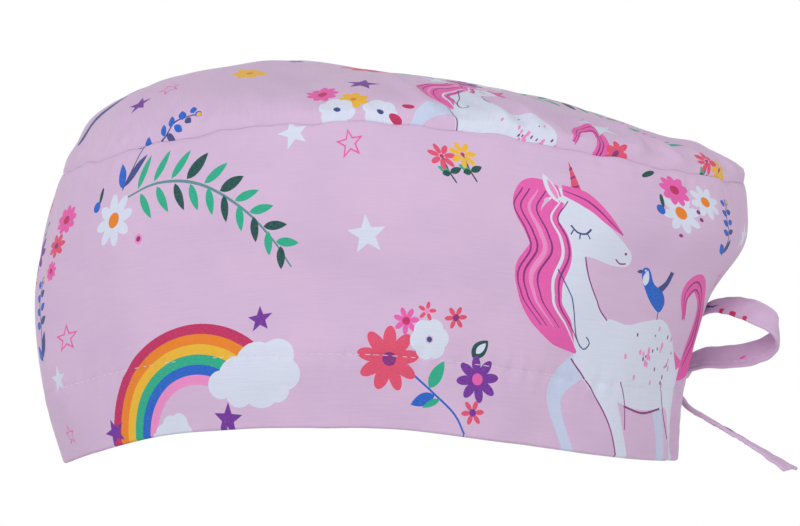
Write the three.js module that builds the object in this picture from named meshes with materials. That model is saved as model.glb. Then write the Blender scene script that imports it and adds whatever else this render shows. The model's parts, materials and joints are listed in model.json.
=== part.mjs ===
// A cloth surgical scrub cap in the form that it has on a head, tied in a bow at the back.
// Millimetres, +Z up. The wearer faces -Y, and +X is the wearer's left. The origin is the
// middle of the head opening, level with the front of the rim.
import * as THREE from "three";

// Cloth, hem and slit
const CLOTH = 1.2; // wall of the band and of the crown
const BAND_HEIGHT = 94; // along the cloth, from the rim to the crown's seam
const HEM_HEIGHT = 22; // the turned-up hem, which the tape runs through
const HEM_CLOTH = 2.4; // wall where the hem is double
const HEM_STEP = 1.2; // height over which the hem's inner edge ends
const SEAM_GAP = 0.8; // clear space between the band and the crown
const SLIT_HEIGHT = 47; // the open slit at the centre back
const SLIT_WIDTH = 20; // its width at the rim
const SLIT_TAPER = 0.8; // power of the height by which it narrows

// How finely the cloth is divided
const COLUMNS = 104; // around the head
const BACK_CROWDING = 0.5; // draws the columns together at the back, where the folds are
const HEM_ROWS = 3;
const SLIT_ROWS = 3;
const UPPER_ROWS = 5;
const CROWN_ROWS = 8;

// Rings of the cap, from the rim up to the crown's middle. Each meets the head's middle
// plane at front and back and is widest at side. middleY is where it is widest, and
// ridgeY is where it rides highest.
const RINGS = [
  { frontY: -98.3, frontZ: 0.0, sideX: 79.0, sideZ: 14.7, backY: 101.6, backZ: 1.5, middleY: 8, ridgeY: -5 },
  { frontY: -103.9, frontZ: 18.1, sideX: 81.1, sideZ: 33.4, backY: 102.8, backZ: 20.3, middleY: 8, ridgeY: -5 },
  { frontY: -106.9, frontZ: 36.9, sideX: 82.3, sideZ: 52.3, backY: 107.4, backZ: 38.5, middleY: 8, ridgeY: -5 },
  { frontY: -107.3, frontZ: 55.9, sideX: 82.2, sideZ: 71.0, backY: 114.4, backZ: 56.2, middleY: 8, ridgeY: -5 },
  { frontY: -104.4, frontZ: 74.8, sideX: 79.8, sideZ: 89.8, backY: 124.5, backZ: 72.0, middleY: 8, ridgeY: -5 },
  { frontY: -99.1, frontZ: 93.2, sideX: 74.0, sideZ: 108.4, backY: 124.2, backZ: 90.2, middleY: 8, ridgeY: -5 },
  { frontY: -95.0, frontZ: 103.0, sideX: 71.5, sideZ: 113.0, backY: 121.5, backZ: 95.5, middleY: 6, ridgeY: -6 },
  { frontY: -89.2, frontZ: 112.8, sideX: 66.0, sideZ: 117.0, backY: 113.0, backZ: 101.0, middleY: 3, ridgeY: -8 },
  { frontY: -77.0, frontZ: 120.7, sideX: 54.0, sideZ: 121.5, backY: 90.2, backZ: 108.6, middleY: -2, ridgeY: -11 },
  { frontY: -60.0, frontZ: 126.5, sideX: 38.0, sideZ: 125.8, backY: 60.0, backZ: 118.2, middleY: -8, ridgeY: -14 },
  { frontY: -40.0, frontZ: 129.7, sideX: 18.0, sideZ: 129.3, backY: 20.0, backZ: 126.7, middleY: -15, ridgeY: -17 },
  { frontY: -20.0, frontZ: 130.3, sideX: 0.0, sideZ: 130.3, backY: -20.0, backZ: 130.3, middleY: -20, ridgeY: -20 },
];
const SEAM_RING = 5; // the ring where the crown is sewn to the band
const LAST_RING = RINGS.length - 1;

// How a ring falls away from its ridge, as a power of the distance
const RIM_FALL = 3; // in front, at the rim
const CROWN_FALL = 2; // in front, at the seam and above
const BACK_FALL = 1.7; // behind, shared with an S-shaped fall

// Gathers of the crown. turn is the place on the seam, in degrees from the front round
// the wearer's left, lean is how far the fold turns on its way up, height is how far it
// stands out, width is half its breadth, and reach is the share of the crown it crosses.
const GATHERS = [
  { turn: 99, lean: -10, height: 1.3, width: 5.0, reach: 0.62 },
  { turn: 111, lean: -9, height: 1.0, width: 4.0, reach: 0.5 },
  { turn: 122, lean: -9, height: 1.7, width: 4.5, reach: 0.7 },
  { turn: 133, lean: -7, height: 1.2, width: 3.8, reach: 0.5 },
  { turn: 144, lean: -6, height: 1.8, width: 4.2, reach: 0.66 },
  { turn: 154, lean: -4, height: 1.3, width: 3.6, reach: 0.5 },
  { turn: 165, lean: -2, height: 1.7, width: 4.0, reach: 0.6 },
  { turn: 176, lean: 0, height: 1.3, width: 3.6, reach: 0.5 },
  { turn: 187, lean: 2, height: 1.7, width: 4.0, reach: 0.62 },
  { turn: 199, lean: 4, height: 1.2, width: 3.8, reach: 0.5 },
  { turn: 210, lean: 6, height: 1.8, width: 4.4, reach: 0.68 },
  { turn: 222, lean: 7, height: 1.2, width: 3.8, reach: 0.52 },
  { turn: 234, lean: 8, height: 1.6, width: 4.6, reach: 0.66 },
  { turn: 247, lean: 9, height: 1.0, width: 4.2, reach: 0.5 },
  { turn: 260, lean: 10, height: 1.2, width: 5.0, reach: 0.6 },
];

const GATHER_RISE = 0.12; // share of the crown over which a gather rises from the seam
const GATHER_FULL = 0.2; // share of the crown where it starts to die out

// Upright folds of the band beside the slit, where the tape draws it in. across is
// measured from the centre back, and top is where the fold has died out.
const BACK_FOLDS = [
  { across: 0, height: -9.0, width: 9.0, top: 60 },
  { across: 15, height: 2.2, width: 4.2, top: 66 },
  { across: 20.5, height: -1.0, width: 2.6, top: 52 },
  { across: 26, height: 0.9, width: 3.4, top: 60 },
  { across: -20, height: -3.2, width: 13.0, top: 62 },
  { across: -13, height: 0.4, width: 3.4, top: 58 },
  { across: -33, height: 0.8, width: 4.0, top: 60 },
];

// The tape of the bow. Each row is a place on its middle line. lean is the direction of its
// width, from level across the cap downwards, and share is how much of its width lies open.
const TAPE_WIDTH = 8;
const TAPE_THICKNESS = 1.2;
const TAPE_STEPS = 4; // divisions between two rows
const KNOT = { x: 0, y: 99.4, z: 25, radiusX: 5.4, radiusY: 3.9, radiusZ: 4.8 };
const LEAD_LEFT = [
  { x: 5.1, y: 97.3, z: 12.0, lean: 0, share: 0.6 },
  { x: 4.6, y: 97.4, z: 13.4, lean: 0, share: 0.58 },
  { x: 4.0, y: 97.6, z: 16.4, lean: 0, share: 0.56 },
  { x: 3.2, y: 97.9, z: 20.0, lean: 0, share: 0.5 },
];
const LEAD_RIGHT = [
  { x: -4.8, y: 96.4, z: 11.8, lean: 0, share: 0.6 },
  { x: -4.2, y: 96.6, z: 13.4, lean: 0, share: 0.55 },
  { x: -4.0, y: 96.9, z: 16.4, lean: 0, share: 0.6 },
  { x: -3.2, y: 97.6, z: 20.0, lean: 0, share: 0.5 },
];
const LOOP_LEFT = [
  { x: 1.2, y: 101.6, z: 30.4, lean: 0, share: 0.5 },
  { x: 1.4, y: 102.8, z: 34.6, lean: 0, share: 0.6 },
  { x: 1.5, y: 104.6, z: 38.0, lean: 0, share: 0.7 },
  { x: 1.6, y: 106.7, z: 41.6, lean: 0, share: 0.75 },
  { x: 2.0, y: 109.0, z: 45.4, lean: 2, share: 0.75 },
  { x: 3.2, y: 111.8, z: 48.7, lean: 7, share: 0.85 },
  { x: 7.0, y: 114.6, z: 50.0, lean: 13, share: 0.95 },
  { x: 11.4, y: 118.0, z: 50.3, lean: 21, share: 1 },
  { x: 16.0, y: 122.0, z: 49.6, lean: 31, share: 1 },
  { x: 20.0, y: 126.2, z: 48.0, lean: 42, share: 1 },
  { x: 22.0, y: 129.6, z: 45.8, lean: 50, share: 1 },
  { x: 21.4, y: 131.8, z: 43.0, lean: 53, share: 1 },
  { x: 18.0, y: 132.0, z: 40.0, lean: 53, share: 1 },
  { x: 13.6, y: 129.2, z: 37.2, lean: 51, share: 1 },
  { x: 9.6, y: 123.8, z: 35.3, lean: 49, share: 1 },
  { x: 6.8, y: 117.0, z: 34.5, lean: 46, share: 1 },
  { x: 5.0, y: 110.8, z: 34.2, lean: 44, share: 0.95 },
  { x: 3.6, y: 106.0, z: 32.2, lean: 36, share: 0.8 },
  { x: 2.6, y: 103.2, z: 28.2, lean: 20, share: 0.5 },
];
const LOOP_RIGHT = [
  { x: -4.6, y: 101.8, z: 27.6, lean: 84, share: 0.5 },
  { x: -10.0, y: 103.6, z: 28.8, lean: 86, share: 0.8 },
  { x: -20.0, y: 103.6, z: 30.2, lean: 88, share: 1 },
  { x: -31.0, y: 102.2, z: 30.6, lean: 90, share: 1 },
  { x: -40.0, y: 99.4, z: 30.0, lean: 91, share: 1 },
  { x: -45.6, y: 96.4, z: 29.2, lean: 92, share: 1 },
  { x: -42.6, y: 94.8, z: 28.0, lean: 92, share: 1 },
  { x: -34.0, y: 98.0, z: 26.6, lean: 92, share: 1 },
  { x: -24.0, y: 100.2, z: 25.4, lean: 92, share: 1 },
  { x: -13.0, y: 101.0, z: 24.4, lean: 90, share: 0.8 },
  { x: -6.4, y: 99.9, z: 23.8, lean: 88, share: 0.5 },
];
const TAIL_LEFT = [
  { x: 3.2, y: 101.8, z: 20.4, lean: 0, share: 0.5 },
  { x: 5.6, y: 105.2, z: 16.6, lean: 0, share: 0.85 },
  { x: 9.2, y: 110.4, z: 13.3, lean: 0, share: 1 },
  { x: 13.6, y: 117.0, z: 9.5, lean: 0, share: 1 },
  { x: 18.0, y: 123.6, z: 5.7, lean: 2, share: 1 },
  { x: 22.2, y: 129.8, z: 1.9, lean: 8, share: 1 },
  { x: 26.4, y: 136.2, z: -2.2, lean: 16, share: 1 },
];
const TAIL_RIGHT = [
  { x: -3.0, y: 101.4, z: 20.2, lean: 60, share: 0.5 },
  { x: -8.0, y: 101.8, z: 16.4, lean: 72, share: 0.85 },
  { x: -15.0, y: 100.6, z: 13.2, lean: 80, share: 1 },
  { x: -24.0, y: 98.4, z: 11.0, lean: 85, share: 1 },
  { x: -33.0, y: 95.6, z: 9.6, lean: 90, share: 1 },
  { x: -41.0, y: 91.6, z: 8.6, lean: 94, share: 1 },
  { x: -48.0, y: 86.8, z: 8.0, lean: 98, share: 1 },
];

const COTTON = new THREE.MeshStandardMaterial({ color: 0xd3b5d4, roughness: 0.92, metalness: 0 });
const COTTON_TAPE = new THREE.MeshStandardMaterial({ color: 0xcbaecb, roughness: 0.92, metalness: 0 });
const PROBE = 0.02; // step of the differences that give a normal, in rings and radians

// The value of one column of RINGS at a height of ring, which may lie between two rings.
function ringValue(column, ring) {
  const below = THREE.MathUtils.clamp(Math.floor(ring), 0, LAST_RING - 1);
  const share = ring - below;
  const row = (i) => RINGS[i][column];
  const p1 = row(below);
  const p2 = row(below + 1);
  const p0 = below > 0 ? row(below - 1) : 2 * p1 - p2;
  const p3 = below + 2 <= LAST_RING ? row(below + 2) : 2 * p2 - p1;
  const rise = (p2 - p0) / 2;
  const bend = (2 * p0 - 5 * p1 + 4 * p2 - p3) / 2;
  const turn = (3 * p1 - p0 - 3 * p2 + p3) / 2;
  return p1 + share * (rise + share * (bend + share * turn));
}

// The smooth cap without its folds: turn is in radians from the front round the left.
function smoothPoint(turn, ring) {
  const at = (column) => ringValue(column, ring);
  const ahead = Math.cos(turn);
  const end = ahead > 0 ? at("frontY") : at("backY");
  const x = at("sideX") * Math.sin(turn);
  const y = at("middleY") + (end - at("middleY")) * Math.abs(ahead);
  const front = y < at("ridgeY");
  const away = (y - at("ridgeY")) / ((front ? at("frontY") : at("backY")) - at("ridgeY") || 1);
  const t = THREE.MathUtils.clamp(away, 0, 1);
  const power = Math.max(CROWN_FALL, RIM_FALL - (ring / SEAM_RING) * (RIM_FALL - CROWN_FALL));
  const fall = front ? t ** power : (t ** BACK_FALL + t * t * (3 - 2 * t)) / 2;
  const low = front ? at("frontZ") : at("backZ");
  return new THREE.Vector3(x, y, at("sideZ") - (at("sideZ") - low) * fall);
}

// The outward normal of any such surface.
function normalOf(surface, turn, ring) {
  const high = Math.min(ring + PROBE, LAST_RING - PROBE);
  const around = surface(turn + PROBE, high - PROBE).sub(surface(turn - PROBE, high - PROBE));
  const up = surface(turn, high).sub(surface(turn, high - 2 * PROBE));
  return around.cross(up).normalize();
}

const bump = (offset, width) => Math.exp(-((offset / width) ** 2));
const turnBetween = (turn, other) => Math.atan2(Math.sin(turn - other), Math.cos(turn - other));
const fade = (value, full, gone) => 1 - THREE.MathUtils.smoothstep(value, full, gone);

// How far the folds stand out of the smooth cap.
function foldHeight(turn, ring) {
  const smooth = smoothPoint(turn, ring);
  let height = 0;
  if (ring >= SEAM_RING) {
    const climbed = (ring - SEAM_RING) / (LAST_RING - SEAM_RING);
    const radius = Math.hypot(smooth.x, smooth.y - ringValue("middleY", ring));
    for (const fold of GATHERS) {
      const away = turnBetween(turn, THREE.MathUtils.degToRad(fold.turn + fold.lean * climbed));
      const start = THREE.MathUtils.smoothstep(climbed, 0, GATHER_RISE);
      const across = bump(away * radius, fold.width * (1 + climbed));
      height += fold.height * across * start * fade(climbed, GATHER_FULL, fold.reach);
    }
  } else if (Math.cos(turn) < 0) {
    const climbed = (ring / SEAM_RING) * BAND_HEIGHT;
    for (const fold of BACK_FOLDS) {
      const across = bump(smooth.x - fold.across, fold.width);
      height += fold.height * across * fade(climbed, fold.top / 3, fold.top);
    }
  }
  return height;
}

function clothPoint(turn, ring) {
  const point = smoothPoint(turn, ring);
  return point.addScaledVector(normalOf(smoothPoint, turn, ring), foldHeight(turn, ring));
}

// Both faces of the cloth at one place.
function clothFaces(turn, ring, thickness) {
  const outer = clothPoint(turn, ring);
  const normal = normalOf(clothPoint, turn, ring);
  return { outer, inner: outer.clone().addScaledVector(normal, -thickness) };
}

// A closed solid from points with an outer and an inner face, and the triangles between
// them, which run anticlockwise seen from outside. Open edges get a wall.
function thickened(points, triangles) {
  const count = points.length;
  const index = [];
  const edges = new Map();
  for (const [a, b, c] of triangles) {
    index.push(a, b, c, a + count, c + count, b + count);
    for (const edge of [[a, b], [b, c], [c, a]]) edges.set(edge.join(), edge);
  }
  for (const [from, to] of edges.values()) {
    if (edges.has([to, from].join())) continue;
    index.push(to, from, from + count, to, from + count, to + count);
  }
  const places = [...points.map((p) => p.outer), ...points.map((p) => p.inner)];
  const geometry = new THREE.BufferGeometry().setFromPoints(places);
  geometry.setIndex(index);
  geometry.computeVertexNormals();
  return geometry;
}

// The triangles of a grid whose corners id(column, row) names.
function gridTriangles(columns, rows, id) {
  const triangles = [];
  for (let row = 0; row < rows; row++) {
    for (let column = 0; column < columns; column++) {
      const [a, b] = [id(column, row), id(column + 1, row)];
      const [c, d] = [id(column + 1, row + 1), id(column, row + 1)];
      triangles.push([a, b, c], [a, c, d]);
    }
  }
  return triangles;
}

const steps = (from, to, count) =>
  Array.from({ length: count }, (_, i) => from + ((to - from) * (i + 1)) / count);

// The angle of a column, from the back round the right, the front and the left to the back.
function columnTurn(column) {
  const u = (2 * column) / COLUMNS - 1;
  return Math.PI * u + BACK_CROWDING * Math.sin(Math.PI * u);
}

function makeBand() {
  const top = BAND_HEIGHT - SEAM_GAP / 2;
  const heights = [
    0,
    ...steps(0, HEM_HEIGHT, HEM_ROWS),
    HEM_HEIGHT + HEM_STEP,
    ...steps(HEM_HEIGHT + HEM_STEP, SLIT_HEIGHT, SLIT_ROWS),
    ...steps(SLIT_HEIGHT, top, UPPER_ROWS),
  ];
  const slitRow = heights.indexOf(SLIT_HEIGHT);
  const points = [];
  for (const height of heights) {
    const ring = (height / BAND_HEIGHT) * SEAM_RING;
    const open = Math.max(0, 1 - height / SLIT_HEIGHT) ** SLIT_TAPER;
    const cut = Math.asin((SLIT_WIDTH * open) / 2 / ringValue("sideX", ring));
    for (let column = 0; column <= COLUMNS; column++) {
      const turn = columnTurn(column) * (1 - cut / Math.PI);
      points.push(clothFaces(turn, ring, height <= HEM_HEIGHT ? HEM_CLOTH : CLOTH));
    }
  }
  const id = (column, row) =>
    row * (COLUMNS + 1) + (row >= slitRow ? column % COLUMNS : column);
  return thickened(points, gridTriangles(COLUMNS, heights.length - 1, id));
}

function makeCrown() {
  const bottom = SEAM_RING + ((SEAM_GAP / BAND_HEIGHT) * SEAM_RING) / 2;
  const rings = [bottom, ...steps(bottom, LAST_RING, CROWN_ROWS)];
  const points = [];
  for (const ring of rings.slice(0, -1)) {
    for (let column = 0; column < COLUMNS; column++) {
      points.push(clothFaces(columnTurn(column), ring, CLOTH));
    }
  }
  const outer = smoothPoint(0, LAST_RING);
  const middle = points.push({ outer, inner: outer.clone().setZ(outer.z - CLOTH) }) - 1;
  const id = (column, row) => row * COLUMNS + (column % COLUMNS);
  const triangles = gridTriangles(COLUMNS, CROWN_ROWS - 1, id);
  for (let column = 0; column < COLUMNS; column++) {
    triangles.push([id(column, CROWN_ROWS - 1), id(column + 1, CROWN_ROWS - 1), middle]);
  }
  return thickened(points, triangles);
}

// A flat tape along a route, with square ends.
function makeTape(route) {
  const line = new THREE.CatmullRomCurve3(route.map((row) => new THREE.Vector3(row.x, row.y, row.z)));
  const last = route.length - 1;
  const count = last * TAPE_STEPS;
  const points = [];
  for (let i = 0; i <= count; i++) {
    const at = i / TAPE_STEPS;
    const below = Math.min(Math.floor(at), last - 1);
    const between = (column) => THREE.MathUtils.lerp(route[below][column], route[below + 1][column], at - below);
    const middle = line.getPoint(i / count);
    const along = line.getTangent(i / count);
    const lean = THREE.MathUtils.degToRad(between("lean"));
    const leaning = new THREE.Vector3(Math.cos(lean), 0, -Math.sin(lean));
    const across = leaning.projectOnPlane(along).normalize();
    const out = new THREE.Vector3().crossVectors(across, along).normalize();
    for (const side of [-1, 0, 1]) {
      const place = middle.clone().addScaledVector(across, (side * TAPE_WIDTH * between("share")) / 2);
      points.push({
        outer: place.clone().addScaledVector(out, TAPE_THICKNESS / 2),
        inner: place.clone().addScaledVector(out, -TAPE_THICKNESS / 2),
      });
    }
  }
  const id = (column, row) => row * 3 + column;
  return thickened(points, gridTriangles(2, count, id));
}

function makeKnot() {
  return new THREE.SphereGeometry(1, 20, 14).scale(KNOT.radiusX, KNOT.radiusY, KNOT.radiusZ);
}

function add(name, geometry, material) {
  const mesh = new THREE.Mesh(geometry, material.clone());
  mesh.name = name;
  cap.add(mesh);
  return mesh;
}

const cap = new THREE.Group();
add("band", makeBand(), COTTON);
add("crown", makeCrown(), COTTON);
add("bow_knot", makeKnot(), COTTON_TAPE).position.set(KNOT.x, KNOT.y, KNOT.z);
add("tie_lead_left", makeTape(LEAD_LEFT), COTTON_TAPE);
add("tie_lead_right", makeTape(LEAD_RIGHT), COTTON_TAPE);
add("bow_loop_left", makeTape(LOOP_LEFT), COTTON_TAPE);
add("bow_loop_right", makeTape(LOOP_RIGHT), COTTON_TAPE);
add("tie_tail_left", makeTape(TAIL_LEFT), COTTON_TAPE);
add("tie_tail_right", makeTape(TAIL_RIGHT), COTTON_TAPE);

export default cap;
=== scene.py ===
"""A printed cotton surgical scrub cap in its worn form, tied in a bow at the back.

Sizes are millimetres until a mesh is made. +Z is up, the wearer faces -Y, and +X is the
wearer's left. Flat places on the cloth are (across, up) in millimetres of cloth.
"""

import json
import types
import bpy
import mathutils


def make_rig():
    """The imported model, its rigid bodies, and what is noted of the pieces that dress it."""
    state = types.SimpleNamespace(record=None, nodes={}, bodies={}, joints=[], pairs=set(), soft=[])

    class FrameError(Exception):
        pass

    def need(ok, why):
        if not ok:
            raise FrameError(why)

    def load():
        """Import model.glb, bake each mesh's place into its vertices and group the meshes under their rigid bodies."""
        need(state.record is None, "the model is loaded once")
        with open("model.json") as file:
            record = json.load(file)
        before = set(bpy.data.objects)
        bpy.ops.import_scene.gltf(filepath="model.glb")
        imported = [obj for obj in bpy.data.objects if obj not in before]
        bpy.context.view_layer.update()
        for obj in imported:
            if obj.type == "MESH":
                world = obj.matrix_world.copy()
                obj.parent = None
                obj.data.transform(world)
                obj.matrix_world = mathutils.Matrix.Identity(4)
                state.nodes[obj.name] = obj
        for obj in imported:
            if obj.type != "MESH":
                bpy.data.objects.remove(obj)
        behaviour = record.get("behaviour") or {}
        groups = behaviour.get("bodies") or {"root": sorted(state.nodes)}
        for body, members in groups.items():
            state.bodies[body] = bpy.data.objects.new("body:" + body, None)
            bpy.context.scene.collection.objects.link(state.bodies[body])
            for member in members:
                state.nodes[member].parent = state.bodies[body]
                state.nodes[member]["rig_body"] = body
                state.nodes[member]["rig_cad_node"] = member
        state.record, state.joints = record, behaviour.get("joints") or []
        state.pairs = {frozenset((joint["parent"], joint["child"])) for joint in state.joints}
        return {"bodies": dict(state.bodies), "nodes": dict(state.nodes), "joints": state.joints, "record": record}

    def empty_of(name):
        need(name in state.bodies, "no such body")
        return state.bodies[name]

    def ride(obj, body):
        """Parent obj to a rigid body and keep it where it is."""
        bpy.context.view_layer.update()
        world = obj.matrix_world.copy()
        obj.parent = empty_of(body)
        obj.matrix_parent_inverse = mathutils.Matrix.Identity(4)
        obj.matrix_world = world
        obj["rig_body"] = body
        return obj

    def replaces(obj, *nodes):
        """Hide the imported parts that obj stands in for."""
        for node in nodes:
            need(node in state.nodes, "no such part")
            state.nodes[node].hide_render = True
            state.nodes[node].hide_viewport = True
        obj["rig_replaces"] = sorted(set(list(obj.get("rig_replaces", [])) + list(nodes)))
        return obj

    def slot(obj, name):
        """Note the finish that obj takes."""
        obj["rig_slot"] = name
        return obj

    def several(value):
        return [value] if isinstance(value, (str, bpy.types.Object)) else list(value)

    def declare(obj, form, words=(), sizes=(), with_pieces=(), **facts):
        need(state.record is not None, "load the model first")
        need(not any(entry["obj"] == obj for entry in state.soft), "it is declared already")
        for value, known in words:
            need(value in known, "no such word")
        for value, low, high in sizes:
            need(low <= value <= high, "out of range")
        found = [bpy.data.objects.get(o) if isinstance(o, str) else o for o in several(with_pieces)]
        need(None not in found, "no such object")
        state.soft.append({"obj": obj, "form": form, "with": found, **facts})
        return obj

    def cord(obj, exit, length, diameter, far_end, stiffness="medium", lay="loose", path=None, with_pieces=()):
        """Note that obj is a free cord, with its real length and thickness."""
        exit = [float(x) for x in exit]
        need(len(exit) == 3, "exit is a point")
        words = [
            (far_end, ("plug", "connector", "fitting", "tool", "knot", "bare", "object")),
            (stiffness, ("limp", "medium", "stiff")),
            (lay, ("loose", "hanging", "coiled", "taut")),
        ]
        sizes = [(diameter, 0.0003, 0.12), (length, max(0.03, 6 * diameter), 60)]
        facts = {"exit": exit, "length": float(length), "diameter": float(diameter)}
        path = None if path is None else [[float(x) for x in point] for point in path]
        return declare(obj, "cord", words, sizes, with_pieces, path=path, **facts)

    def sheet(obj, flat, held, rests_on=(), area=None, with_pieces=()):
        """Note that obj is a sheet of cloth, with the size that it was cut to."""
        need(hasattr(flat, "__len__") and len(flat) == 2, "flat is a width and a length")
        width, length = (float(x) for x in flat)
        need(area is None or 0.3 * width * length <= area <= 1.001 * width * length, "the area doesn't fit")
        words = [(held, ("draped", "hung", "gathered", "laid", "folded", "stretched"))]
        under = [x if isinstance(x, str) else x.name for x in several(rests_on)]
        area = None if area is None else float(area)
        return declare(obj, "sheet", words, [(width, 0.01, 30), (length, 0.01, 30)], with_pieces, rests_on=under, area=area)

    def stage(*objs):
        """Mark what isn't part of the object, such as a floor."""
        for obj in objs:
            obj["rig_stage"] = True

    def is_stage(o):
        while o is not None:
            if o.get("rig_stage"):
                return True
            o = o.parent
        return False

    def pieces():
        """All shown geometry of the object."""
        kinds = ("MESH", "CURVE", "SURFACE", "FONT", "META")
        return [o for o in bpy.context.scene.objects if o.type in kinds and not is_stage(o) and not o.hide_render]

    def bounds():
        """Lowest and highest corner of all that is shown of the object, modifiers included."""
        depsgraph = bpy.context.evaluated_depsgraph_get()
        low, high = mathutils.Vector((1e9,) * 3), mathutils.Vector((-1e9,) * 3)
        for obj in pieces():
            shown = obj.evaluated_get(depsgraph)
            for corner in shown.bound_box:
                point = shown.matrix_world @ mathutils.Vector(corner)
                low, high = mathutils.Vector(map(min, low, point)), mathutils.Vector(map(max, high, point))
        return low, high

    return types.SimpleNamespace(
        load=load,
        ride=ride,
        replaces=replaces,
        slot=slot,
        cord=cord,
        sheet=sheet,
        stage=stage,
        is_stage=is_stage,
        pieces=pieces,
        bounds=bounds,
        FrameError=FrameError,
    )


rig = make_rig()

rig.load()
CAD_BOX = [list(corner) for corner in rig.bounds()]

import json
import logging
import math
from collections.abc import Iterator, Sequence
from dataclasses import dataclass, field, replace
from enum import Enum

import bpy
import numpy as np
from mathutils import Vector
from mathutils.geometry import delaunay_2d_cdt

LOG = logging.getLogger("scrub_cap")
MM = 0.001
Points = np.ndarray


# ---------------------------------------------------------------- colours of the print


def linear_light(hex_colour: str) -> tuple[float, float, float]:
    """A colour as linear light, from sRGB hex."""
    parts = [int(hex_colour[i : i + 2], 16) / 255 for i in (0, 2, 4)]
    return tuple(c / 12.92 if c < 0.04045 else ((c + 0.055) / 1.055) ** 2.4 for c in parts)


class Ink(Enum):
    """The dyes of the print, as sRGB hex. GROUND stands for bare cloth."""

    GROUND = "dcbfdc"
    CHALK = "dbe0f0"
    SHELL = "c9d3ec"
    ROSE = "ea5fae"
    BLUSH = "ef8fc8"
    PLUM = "8a2c7d"
    BERRY = "c42a5e"
    CORAL = "e4506e"
    ORANGE = "ee8413"
    AMBER = "f0b92a"
    JADE = "1fae88"
    PINE = "0d4f48"
    MIST = "5d8f93"
    COBALT = "1464c8"
    NAVY = "3a4a86"
    VIOLET = "73319b"

    def linear(self) -> tuple[float, float, float]:
        """The dye as linear light."""
        return linear_light(self.value)


# ---------------------------------------------------------------- lines and outlines


def unit(vectors: Points) -> Points:
    """Vectors brought to length 1."""
    return vectors / np.linalg.norm(vectors, axis=-1, keepdims=True)


def lengths_along(line: Points) -> Points:
    """The length from a line's start to each of its points."""
    return np.append(0, np.cumsum(np.linalg.norm(np.diff(line, axis=0), axis=1)))


def sample(at: Points, stations: Points, line: Points) -> Points:
    """Values of a line at given lengths from its start."""
    return np.stack([np.interp(at, stations, column) for column in line.T], axis=1)


def twice_area(outline: Points) -> float:
    """Twice the area in an outline, above 0 where it runs anticlockwise."""
    x, y = outline.T
    return float(np.sum(x * np.roll(y, -1) - y * np.roll(x, -1)))


def soft_curve(p0: Points, p1: Points, p2: Points, p3: Points, t: Points) -> Points:
    """Places from p1 to p2 on a soft curve that also heeds p0 and p3."""
    bend = 2 * p0 - 5 * p1 + 4 * p2 - p3
    return 0.5 * (2 * p1 + (p2 - p0) * t + bend * t**2 + (3 * p1 - p0 - 3 * p2 + p3) * t**3)


def turned(x: float, y: float, u: Points, v: Points, turn: float) -> Points:
    """Places u along and v across a direction of turn degrees, from x, y."""
    cos, sin = math.cos(math.radians(turn)), math.sin(math.radians(turn))
    return np.column_stack((x + u * cos - v * sin, y + u * sin + v * cos))


def walk_round(corners: list[tuple[float, float]], step: float) -> Points:
    """An outline with even points on its straight sides.

    Args:
        corners: its corners, anticlockwise.
        step: about how far the points lie apart.

    Returns:
        The points, the corners among them.
    """
    edge = []
    for (x0, y0), (x1, y1) in zip(corners, corners[1:] + corners[:1]):
        count = max(1, round(math.hypot(x1 - x0, y1 - y0) / step))
        edge += [(x0 + (x1 - x0) * i / count, y0 + (y1 - y0) * i / count) for i in range(count)]
    return np.array(edge)


def wheel(count: int, start: float = 0.0, sweep: float = 360.0) -> Points:
    """Evenly spread angles.

    Args:
        count: how many angles.
        start: the first one, in degrees.
        sweep: the whole turn that they share, in degrees.

    Returns:
        The angles in radians.
    """
    return np.radians(start + sweep * np.arange(count) / count)


def disc(x: float, y: float, rx: float, ry: float | None = None, turn: float = 0.0) -> Points:
    """An ellipse.

    Args:
        x: middle, across.
        y: middle, up.
        rx: half its length along turn.
        ry: half its breadth, or None for a circle.
        turn: direction of its length, in degrees.

    Returns:
        Its outline.
    """
    ry = rx if ry is None else ry
    count = int(np.clip(6 * math.sqrt(max(rx, ry)) + 6, 10, 40))
    a = wheel(count)
    return turned(x, y, rx * np.cos(a), ry * np.sin(a), turn)


def smooth_line(points: Sequence[tuple[float, float]], closed: bool, step: float = 0.9) -> Points:
    """A soft curve through a few points.

    Args:
        points: the places it passes through.
        closed: whether it comes back to its start.
        step: the distance between the points returned.

    Returns:
        Points along the curve.
    """
    p = np.asarray(points, float)
    n = len(p)
    spans = n if closed else n - 1
    out = []
    for i in range(spans):
        p1, p2 = p[i], p[(i + 1) % n]
        p0 = p[i - 1] if closed or i > 0 else 2 * p1 - p2
        p3 = p[(i + 2) % n] if closed or i + 2 < n else 2 * p2 - p1
        count = max(2, int(np.hypot(*(p2 - p1)) / step))
        t = (np.arange(count) / count)[:, None]
        out.append(soft_curve(p0, p1, p2, p3, t))
    if not closed:
        out.append(p[-1:])
    return np.vstack(out)


def ribbon(
    points: Sequence[tuple[float, float]], width: float | Sequence[float], step: float = 0.9
) -> Points:
    """A stroke of the brush.

    Args:
        points: places along its middle.
        width: its breadth, or its breadth at even steps from end to end.
        step: the distance between outline points.

    Returns:
        The closed outline of the stroke.
    """
    line = smooth_line(points, False, step)
    along = np.gradient(line, axis=0)
    along /= np.maximum(np.hypot(*along.T), 1e-9)[:, None]
    side = np.column_stack((-along[:, 1], along[:, 0]))
    widths = np.atleast_1d(np.asarray(width, float))
    t = np.linspace(0, 1, len(line))
    half = np.interp(t, np.linspace(0, 1, len(widths)), widths) / 2
    return np.vstack((line + side * half[:, None], (line - side * half[:, None])[::-1]))


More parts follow.
